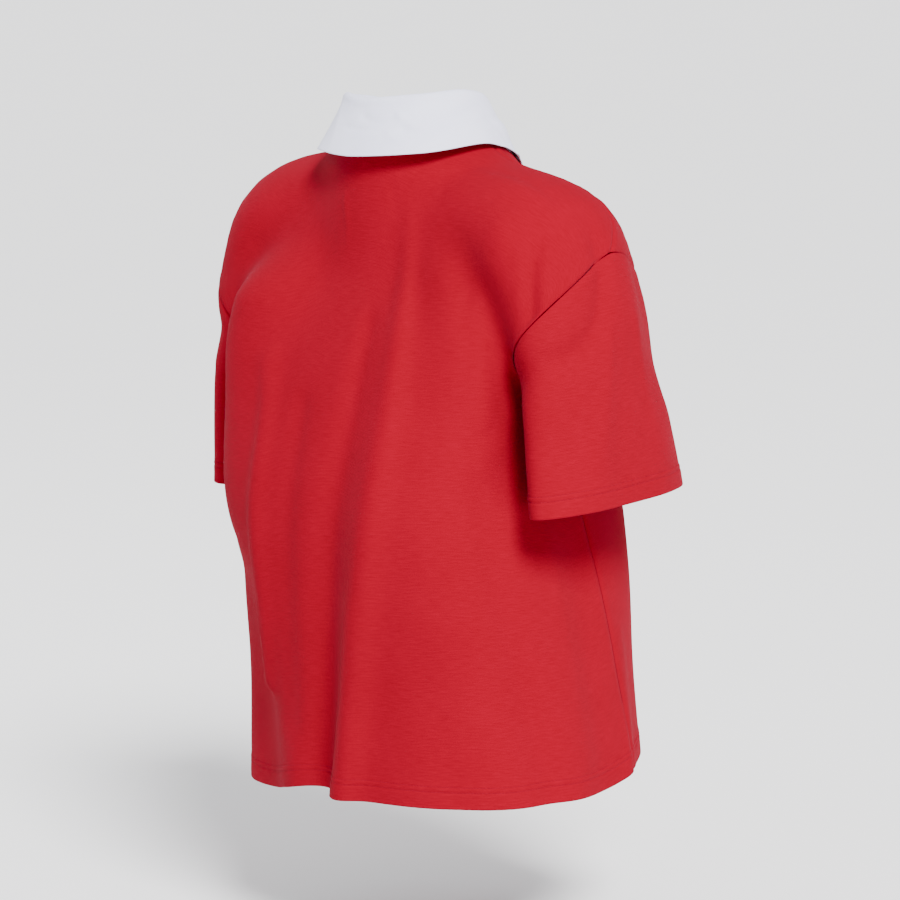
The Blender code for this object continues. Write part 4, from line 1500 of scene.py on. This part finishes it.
@dataclass
class Stitching:
    """A row of stitches: a thread that lies on the cloth and dips into it."""

    radius: float = 0.00022
    stitch: float = 0.0030
    lift: float = 0.00012
    dip: float = 0.0006
    # shares of a stitch at which its thread dives, rises and lies on the cloth
    shares: tuple[float, ...] = (0.02, 0.14, 0.35, 0.65, 0.86, 0.98)

    def build(self, name: str, lines: Sequence[tuple[Points, Points]]) -> bpy.types.Object:
        """Build the thread.

        Args:
            name: The piece's name.
            lines: Lines of points on the cloth, with the directions out of it.

        Returns:
            The piece.
        """
        curve = bpy.data.curves.new(name, "CURVE")
        curve.dimensions, curve.bevel_depth, curve.bevel_resolution = "3D", self.radius, 0
        curve.use_fill_caps = True
        rising = (-self.dip, self.lift * 0.6, self.lift)
        for points, out in lines:
            run = run_of(points)
            count = max(1, int(run[-1] / self.stitch))
            marks = (np.arange(count)[:, None] + np.array(self.shares)).ravel() * run[-1] / count
            lifts = np.tile((*rising, *rising[::-1]), count)
            ways = np.column_stack([np.interp(marks, run, out[:, axis]) for axis in range(3)])
            spots = at_marks(points, marks) + lifts[:, None] * ways
            spline = curve.splines.new("POLY")
            spline.points.add(len(spots) - 1)
            spline.points.foreach_set("co", np.column_stack((spots, np.ones(len(spots)))).ravel())
        maker = linked(name + "_line", curve)
        mesh = bpy.data.meshes.new_from_object(maker.evaluated_get(bpy.context.evaluated_depsgraph_get()))
        bpy.data.objects.remove(maker)
        mesh.name = name
        mesh.shade_smooth()
        return linked(name, mesh)


class Nodes:
    """A small helper that adds and joins a material's nodes."""

    def __init__(self, name: str) -> None:
        """Start a material.

        Args:
            name: The material's name.
        """
        self.material = bpy.data.materials.new(name)
        self.material.use_nodes = True
        self.tree = self.material.node_tree
        self.shader = self.tree.nodes["Principled BSDF"]

    def add(self, kind: str, **settings: object) -> bpy.types.Node:
        """Add a node.

        Args:
            kind: The kind of node.
            settings: Values of its properties, and of its sockets where a key is a socket's name.

        Returns:
            The node.
        """
        node = self.tree.nodes.new(kind)
        for key, value in settings.items():
            if hasattr(node, key):
                setattr(node, key, value)
            else:
                node.inputs[key.replace("_", " ")].default_value = value
        return node

    def join(self, start: bpy.types.NodeSocket, end: bpy.types.NodeSocket) -> None:
        """Join two sockets."""
        self.tree.links.new(start, end)

    def set(self, **values: object) -> None:
        """Set the shader's own sockets; an underscore stands for a space."""
        for key, value in values.items():
            self.shader.inputs[key.replace("_", " ")].default_value = value

    def math(self, operation: str, first: object, second: object = 0.0) -> bpy.types.NodeSocket:
        """Work out a value from two, each a socket or a number.

        Args:
            operation: What is done with them.
            first: The first value.
            second: The second value.

        Returns:
            The result's socket.
        """
        node = self.add("ShaderNodeMath", operation=operation)
        for number, value in enumerate((first, second)):
            if isinstance(value, bpy.types.NodeSocket):
                self.join(value, node.inputs[number])
            else:
                node.inputs[number].default_value = value
        return node.outputs[0]

    def cloth_place(self, scale: tuple[float, float, float]) -> bpy.types.NodeSocket:
        """The cloth's own UV map.

        Args:
            scale: How often it repeats in a metre.

        Returns:
            The place on the cloth, scaled.
        """
        mapping = self.add("ShaderNodeMapping", Scale=scale)
        self.join(self.add("ShaderNodeUVMap", uv_map="Cloth").outputs["UV"], mapping.inputs["Vector"])
        return mapping.outputs["Vector"]

    def cloth_wave(self, axis: str, length: float, lean: object = 0.0) -> bpy.types.NodeSocket:
        """Waves along the cloth.

        Args:
            axis: X across the cloth, Y along it.
            length: Length of a wave, in metres.
            lean: What is added to the wave's turn, a socket or a number.

        Returns:
            The waves, from -1 to 1.
        """
        split = self.add("ShaderNodeSeparateXYZ")
        self.join(self.add("ShaderNodeUVMap", uv_map="Cloth").outputs["UV"], split.inputs[0])
        turn = self.math("MULTIPLY", split.outputs[axis], math.tau / length)
        return self.math("SINE", self.math("ADD", turn, lean))

    def grain(self, scale: float, detail: float) -> bpy.types.NodeSocket:
        """A noise over the object's own coordinates."""
        return self.noise(self.add("ShaderNodeTexCoord").outputs["Object"], scale, detail)

    def noise(self, place: bpy.types.NodeSocket, scale: float = 1.0,
              detail: float = 2.0) -> bpy.types.NodeSocket:
        """A noise over a place.

        Args:
            place: The place's socket.
            scale: How fine it is.
            detail: How many finer layers it has.

        Returns:
            The noise, from 0 to 1.
        """
        node = self.add("ShaderNodeTexNoise", Scale=scale, Detail=detail)
        self.join(place, node.inputs["Vector"])
        return node.outputs["Fac"]

    def ramp(self, value: bpy.types.NodeSocket, low: tuple, high: tuple, start: float = 0.0,
             end: float = 1.0) -> bpy.types.NodeSocket:
        """A colour between two, by a value.

        Args:
            value: The value's socket.
            low: The colour up to the start.
            high: The colour from the end on.
            start: The value where the colour starts to change.
            end: The value where it is the second colour.

        Returns:
            The colour.
        """
        node = self.add("ShaderNodeValToRGB")
        node.color_ramp.elements[0].position, node.color_ramp.elements[1].position = start, end
        node.color_ramp.elements[0].color, node.color_ramp.elements[1].color = (*low, 1), (*high, 1)
        self.join(value, node.inputs["Fac"])
        return node.outputs["Color"]

    def bump(self, height: bpy.types.NodeSocket, distance: float, strength: float = 1.0) -> None:
        """Raise the surface.

        Args:
            height: The height's socket.
            distance: How far a height of 1 raises it, in metres.
            strength: The share of the relief that shows.
        """
        node = self.add("ShaderNodeBump", Distance=distance, Strength=strength)
        self.join(height, node.inputs["Height"])
        self.join(node.outputs["Normal"], self.shader.inputs["Normal"])


@dataclass(frozen=True)
class Knit:
    """Heavy double knit: fine ribs of loops across the cloth, with a soft nap."""

    name: str = "red_double_knit"
    deep: tuple[float, float, float] = (0.190, 0.0000, 0.0075)
    bright: tuple[float, float, float] = (0.235, 0.0001, 0.0110)
    course: float = 0.00125
    wale: float = 0.00110
    loop_lean: float = 0.9
    loop_share: float = 0.30
    rib_scale: tuple[float, float, float] = (85.0, 760.0, 1.0)
    rib_share: float = 0.7
    cloud_scale: tuple[float, float, float] = (14.0, 16.0, 1.0)
    relief: float = 0.00040
    relief_shown: float = 0.55
    smoothest: tuple[float, float, float] = (0.80, 0.80, 0.80)
    roughest: tuple[float, float, float] = (0.95, 0.95, 0.95)
    sheen: float = 0.05

    def material(self) -> bpy.types.Material:
        """Make the material.

        Returns:
            The material.
        """
        nodes = Nodes(self.name)
        ribs = nodes.noise(nodes.cloth_place(self.rib_scale), 1.0, 2.0)
        broad = nodes.noise(nodes.cloth_place(self.cloud_scale), 1.0, 3.0)
        shade = nodes.math("ADD", nodes.math("MULTIPLY", ribs, self.rib_share),
                           nodes.math("MULTIPLY", broad, 1 - self.rib_share))
        nodes.join(nodes.ramp(shade, self.deep, self.bright, 0.28, 0.72), nodes.shader.inputs["Base Color"])
        lean = nodes.math("MULTIPLY", nodes.cloth_wave("X", self.wale), self.loop_lean)
        loops = nodes.cloth_wave("Y", self.course, lean)
        height = nodes.math("ADD", nodes.math("MULTIPLY", loops, self.loop_share), ribs)
        nodes.bump(height, self.relief, self.relief_shown)
        nodes.join(nodes.ramp(ribs, self.smoothest, self.roughest), nodes.shader.inputs["Roughness"])
        nodes.set(Specular_IOR_Level=0.03, Sheen_Weight=self.sheen, Sheen_Roughness=0.42,
                  Sheen_Tint=(1.0, 0.28, 0.40, 1))
        return nodes.material


@dataclass(frozen=True)
class Woven:
    """Smooth close-woven cotton."""

    name: str = "white_woven_cotton"
    shaded: tuple[float, float, float] = (0.700, 0.705, 0.870)
    lit: tuple[float, float, float] = (0.750, 0.755, 0.910)
    thread: float = 0.00045
    weave_share: float = 0.3
    cloud_scale: tuple[float, float, float] = (22.0, 26.0, 1.0)
    slub_scale: tuple[float, float, float] = (160.0, 900.0, 1.0)
    relief: float = 0.00018
    relief_shown: float = 0.6
    smoothest: tuple[float, float, float] = (0.62, 0.62, 0.62)
    roughest: tuple[float, float, float] = (0.80, 0.80, 0.80)

    def material(self) -> bpy.types.Material:
        """Make the material.

        Returns:
            The material.
        """
        nodes = Nodes(self.name)
        broad = nodes.noise(nodes.cloth_place(self.cloud_scale), 1.0, 3.0)
        nodes.join(nodes.ramp(broad, self.shaded, self.lit, 0.3, 0.7), nodes.shader.inputs["Base Color"])
        warp, weft = nodes.cloth_wave("X", self.thread), nodes.cloth_wave("Y", self.thread)
        weave = nodes.math("MULTIPLY", nodes.math("MULTIPLY", warp, weft), self.weave_share)
        slub = nodes.noise(nodes.cloth_place(self.slub_scale), 1.0, 2.0)
        nodes.bump(nodes.math("ADD", weave, slub), self.relief, self.relief_shown)
        nodes.join(nodes.ramp(slub, self.smoothest, self.roughest), nodes.shader.inputs["Roughness"])
        nodes.set(Specular_IOR_Level=0.3, Sheen_Weight=0.12, Sheen_Roughness=0.5)
        return nodes.material


@dataclass(frozen=True)
class Thread:
    """Sewing thread, matched to its cloth."""

    name: str
    colour: tuple[float, float, float]
    lighter: tuple[float, float, float]

    def material(self) -> bpy.types.Material:
        """Make the material.

        Returns:
            The material.
        """
        nodes = Nodes(self.name)
        grain = nodes.grain(900.0, 1.0)
        colour = nodes.ramp(grain, self.colour, self.lighter, 0.35, 0.65)
        nodes.join(colour, nodes.shader.inputs["Base Color"])
        nodes.bump(grain, 0.00008, 0.5)
        nodes.set(Roughness=0.8, Specular_IOR_Level=0.08)
        return nodes.material


@dataclass(frozen=True)
class ButtonPlastic:
    """Plain white button plastic, slightly clouded."""

    name: str = "white_button_plastic"
    clouded: tuple[float, float, float] = (0.74, 0.74, 0.73)
    clear: tuple[float, float, float] = (0.88, 0.88, 0.87)

    def material(self) -> bpy.types.Material:
        """Make the material.

        Returns:
            The material.
        """
        nodes = Nodes(self.name)
        cloud = nodes.grain(260.0, 3.0)
        nodes.join(nodes.ramp(cloud, self.clouded, self.clear, 0.3, 0.7), nodes.shader.inputs["Base Color"])
        nodes.bump(cloud, 0.00005, 0.4)
        nodes.set(Roughness=0.28, Coat_Weight=0.4, Coat_Roughness=0.15, Subsurface_Weight=0.05)
        return nodes.material


@dataclass(frozen=True)
class Lamp:
    """A soft square lamp that faces the shirt.

    It hangs at a distance to the right, towards the camera and up, as the camera sees them.
    """

    name: str
    place: tuple[float, float, float]
    power: float
    size: float = 1.2


@dataclass
class Studio:
    """Floor, soft light and the camera."""

    floor_height: float = -0.72
    floor_radius: float = 60.0
    floor_colours: tuple = ((0.90, 0.90, 0.905), (0.92, 0.92, 0.925))
    azimuth: float = 225.0
    elevation: float = 10.5
    distance: float = 4.4
    focal_pixels: float = 4890.0
    aim: tuple[float, float, float] = (0.0, 0.0, -0.25)
    aim_pixels: tuple[float, float] = (-10.0, -31.0)
    roll: float = 3.4
    sun_aside: float = 18.0
    sun_height: float = 42.0
    sun_strength: float = 6.8
    sun_width: float = 18.0
    sky_colour: tuple[float, float, float, float] = (0.97, 0.97, 1.0, 1)
    sky_strength: float = 0.85
    lamps: tuple[Lamp, ...] = (Lamp("key", (0.9, 2.2, 1.9), 45), Lamp("rim", (-1.4, -1.4, 1.5), 20))

    @staticmethod
    def direction(azimuth: float, elevation: float) -> Vector:
        """Direction out from the shirt at an azimuth and an elevation, in degrees."""
        turn, rise = math.radians(azimuth), math.radians(elevation)
        return Vector((math.sin(turn) * math.cos(rise), -math.cos(turn) * math.cos(rise), math.sin(rise)))

    def camera(self) -> None:
        """Make the camera, level with the photograph's view and rolled as it is."""
        data = bpy.data.cameras.new("camera")
        data.sensor_width = SENSOR_WIDTH
        data.lens = self.focal_pixels * SENSOR_WIDTH / IMAGE_SIZE
        back = self.direction(self.azimuth, self.elevation)
        turn = back.to_track_quat("Z", "Y").to_matrix()
        tilt = turn @ Matrix.Rotation(math.radians(-self.roll), 3, "Z")
        across, down = self.aim_pixels
        shift = turn @ Vector((-across, down, 0)) * (self.distance / self.focal_pixels)
        spot = Vector(self.aim) + back * self.distance + shift
        camera = linked("camera", data)
        camera.matrix_world = Matrix.Translation(spot) @ tilt.to_4x4()
        bpy.context.scene.camera = camera

    def hang(self, lamp: Lamp) -> None:
        """Hang a lamp.

        Args:
            lamp: The lamp.
        """
        data = bpy.data.lights.new(lamp.name, "AREA")
        data.shape, data.size, data.energy = "SQUARE", lamp.size, lamp.power
        near = self.direction(self.azimuth, 0)
        right, aim = Vector((-near.y, near.x, 0)), Vector(self.aim)
        aside, towards, up = lamp.place
        spot = aim + right * aside + near * towards + Vector((0, 0, up))
        turn = (spot - aim).to_track_quat("Z", "Y").to_matrix().to_4x4()
        linked(lamp.name, data).matrix_world = Matrix.Translation(spot) @ turn

    def sun(self) -> None:
        """Add the wide soft light that reaches the whole floor, from above the camera and its right."""
        data = bpy.data.lights.new("sky_light", "SUN")
        data.energy, data.angle = self.sun_strength, math.radians(self.sun_width)
        way = self.direction(self.azimuth + self.sun_aside, self.sun_height)
        linked("sky_light", data).matrix_world = way.to_track_quat("Z", "Y").to_matrix().to_4x4()

    def floor(self) -> None:
        """Make the wide level floor below the shirt."""
        work = bmesh.new()
        bmesh.ops.create_circle(work, cap_ends=True, segments=96, radius=self.floor_radius)
        bmesh.ops.translate(work, verts=work.verts[:], vec=(0, 0, self.floor_height))
        floor = finished(work, "floor", smooth=False)
        nodes = Nodes("pale_floor")
        nodes.join(nodes.ramp(nodes.grain(3.0, 2.0), *self.floor_colours), nodes.shader.inputs["Base Color"])
        nodes.set(Roughness=0.9)
        floor.data.materials.append(nodes.material)

    def build(self) -> None:
        """Make the studio."""
        self.camera()
        self.floor()
        world = bpy.data.worlds.new("studio")
        bpy.context.scene.world = world
        world.use_nodes = True
        sky = world.node_tree.nodes["Background"].inputs
        sky["Color"].default_value, sky["Strength"].default_value = self.sky_colour, self.sky_strength
        self.sun()
        for lamp in self.lamps:
            self.hang(lamp)


@dataclass
class Shirt:
    """The whole shirt."""

    form: Form = field(default_factory=Form)
    body_creases: tuple[Fold, ...] = (
        Fold((76, 71.5, 71), (-0.066, -0.092, -0.165), (0.0042, 0.0052), (-0.0024, -0.0060)),
        Fold((70, 64, 62), (-0.050, -0.088, -0.220), (0.0080, 0.0110), (0.0020, 0.0030)),
        Fold((-12, -9, -8), (-0.040, -0.055, -0.075), (0.0050, 0.0070), (0.0012, 0.0005)),
        Fold((24, 26, 27), (-0.026, -0.034, -0.044), (0.0040, 0.0060), (-0.0012, -0.0004)),
        Fold((57, 66, 77), (-0.270, -0.400, -0.540), (0.0050, 0.0070), (-0.0004, -0.0010)),
        Fold((84, 88, 92), (-0.330, -0.430, -0.540), (0.0100, 0.0140), (0.0006, 0.0012)),
        Fold((-78, -74, -70), (-0.050, -0.080, -0.120), (0.0080, 0.0100), (-0.0012, -0.0008)),
        Fold((40, 44, 50), (-0.420, -0.480, -0.560), (0.0140, 0.0180), (-0.0006, -0.0014)),
        Fold((18, 12, 3), (-0.380, -0.460, -0.560), (0.0060, 0.0080), (0.0008, 0.0016)),
        Fold((113, 114, 112), (-0.440, -0.500, -0.570), (0.0080, 0.0110), (0.0014, 0.0030)),
        Fold((-113, -112, -110), (-0.430, -0.500, -0.570), (0.0090, 0.0120), (0.0012, 0.0028)),
        Fold((140, 144, 148), (-0.120, -0.180, -0.280), (0.0090, 0.0140), (-0.0022, -0.0010)),
        Fold((-138, -143, -150), (-0.110, -0.180, -0.270), (0.0100, 0.0140), (-0.0024, -0.0010)),
        Fold((172, 170, 166), (-0.250, -0.330, -0.450), (0.0120, 0.0180), (0.0012, 0.0026)),
        Fold((-165, -160, -158), (-0.240, -0.360, -0.500), (0.0110, 0.0160), (-0.0014, -0.0026)),
        Fold((128, 132, 140), (-0.300, -0.400, -0.520), (0.0100, 0.0150), (-0.0014, -0.0020)),
        Fold((-126, -134, -138), (-0.280, -0.400, -0.540), (0.0110, 0.0150), (0.0014, 0.0026)),
    )
    sleeve_creases: dict[Side, tuple[Fold, ...]] = field(default_factory=lambda: {
        Side.RIGHT: (
            Fold((10, 36, 70), (-0.105, -0.145, -0.170), (0.0060, 0.0090), (-0.0012, -0.0020)),
            Fold((16, 30, 50), (-0.150, -0.200, -0.260), (0.0080, 0.0110), (0.0010, 0.0008)),
            Fold((70, 76, 80), (-0.200, -0.240, -0.290), (0.0080, 0.0110), (-0.0012, -0.0008)),
            Fold((-40, -48, -60), (-0.150, -0.200, -0.270), (0.0080, 0.0110), (0.0014, 0.0008)),
            Fold((-96, -84, -70), (-0.200, -0.240, -0.300), (0.0070, 0.0100), (-0.0014, -0.0008)),
        ),
        Side.LEFT: (
            Fold((6, 30, 74), (-0.110, -0.140, -0.165), (0.0070, 0.0090), (-0.0012, -0.0016)),
            Fold((30, 44, 60), (-0.150, -0.205, -0.260), (0.0080, 0.0110), (0.0012, 0.0008)),
            Fold((78, 80, 84), (-0.210, -0.250, -0.300), (0.0070, 0.0100), (-0.0010, -0.0008)),
            Fold((-34, -50, -66), (-0.140, -0.190, -0.260), (0.0080, 0.0110), (0.0012, 0.0010)),
            Fold((-92, -86, -78), (-0.190, -0.230, -0.290), (0.0070, 0.0100), (-0.0012, -0.0008)),
        ),
    })

    def build(self) -> None:
        """Build every piece and dress it."""
        seams = Seams(self.form)
        knit, woven = Knit().material(), Woven().material()
        red_thread = Thread("red_thread", (0.165, 0.0002, 0.009), (0.230, 0.001, 0.016)).material()
        white_thread = Thread("white_thread", (0.74, 0.74, 0.80), (0.86, 0.86, 0.90)).material()
        plastic = ButtonPlastic().material()
        back = Panel(self.form, seams, Face.BACK, creases=self.body_creases)
        front = Panel(self.form, seams, Face.FRONT, creases=self.body_creases)
        back_piece = self.placed(back.build(), knit, "red_knit", "back_panel")
        front_piece = self.placed(front.build(), knit, "red_knit", "front_panel")
        sleeves = []
        for side in Side:
            sleeve = Sleeve(self.form, seams, side, creases=self.sleeve_creases[side])
            piece = self.placed(sleeve.build(), knit, "red_knit", f"sleeve_{side.name.lower()}")
            sleeves.append(sleeve)
        placket = Placket(front)
        top = self.placed(placket.band("placket_top_cloth", placket.gap, placket.gap + placket.wall),
                          knit, "red_knit", "placket_top")
        inside = -front.wall - placket.gap
        under = self.placed(placket.band("placket_under_cloth", inside - placket.wall, inside),
                            knit, "red_knit", "placket_under")
        for number, height in enumerate(placket.button_heights, 1):
            disc, thread = placket.button(number, height)
            self.placed(disc, plastic, "white_plastic", f"button_{number}")
            self.placed(thread, white_thread, "white_plastic")
        collar = Collar(self.form, seams)
        stand = self.placed(collar.build_stand(), woven, "white_woven", "collar_stand")
        leaf = self.placed(collar.build_leaf(), woven, "white_woven", "collar_leaf")
        self.sew(back, front, sleeves, placket, red_thread)

    def sew(self, back: Panel, front: Panel, sleeves: Sequence[Sleeve], placket: Placket,
            thread: bpy.types.Material) -> None:
        """Sew the coverstitch of hem and cuffs, and the placket's edge.

        Args:
            back: The back.
            front: The front.
            sleeves: The sleeves.
            placket: The placket.
            thread: The thread's material.
        """
        stitching = Stitching()
        picked = [int(np.argmin(np.abs(back.hem.rows() - row))) for row in back.hem.stitch_rows]
        lines = []
        for panel in (back, front):
            lines += [(panel.surface[1:-1, row], panel.out[1:-1, row]) for row in picked]
        self.placed(stitching.build("hem_coverstitch", lines), thread, "red_knit")
        for sleeve in sleeves:
            lines = [(sleeve.surface[:, -1 - row], sleeve.out[:, -1 - row]) for row in picked]
            name = f"cuff_{sleeve.side.name.lower()}_coverstitch"
            self.placed(stitching.build(name, lines), thread, "red_knit")
        self.placed(stitching.build("placket_stitching", [placket.outline()]), thread, "red_knit")

    @staticmethod
    def placed(piece: bpy.types.Object, material: bpy.types.Material, slot: str,
               node: Optional[str] = None) -> bpy.types.Object:
        """Dress a piece, let it ride on the shirt's one body, and hide the frame's part that it replaces,
        where one is given.

        Args:
            piece: The piece.
            material: Its material.
            slot: Not used.
            node: The frame's node that it replaces.

        Returns:
            The piece.
        """
        piece.data.materials.clear()
        piece.data.materials.append(material)
        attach(piece, "root")
        if node:
            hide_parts(node)
        LOG.info("%s: %d faces", piece.name, len(piece.data.polygons))
        return piece


def main() -> None:
    """Build the shirt and its studio on the frame."""
    logging.basicConfig(level=logging.INFO, format="%(message)s")
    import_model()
    Shirt().build()
    Studio().build()


if __name__ == "__main__":
    main()
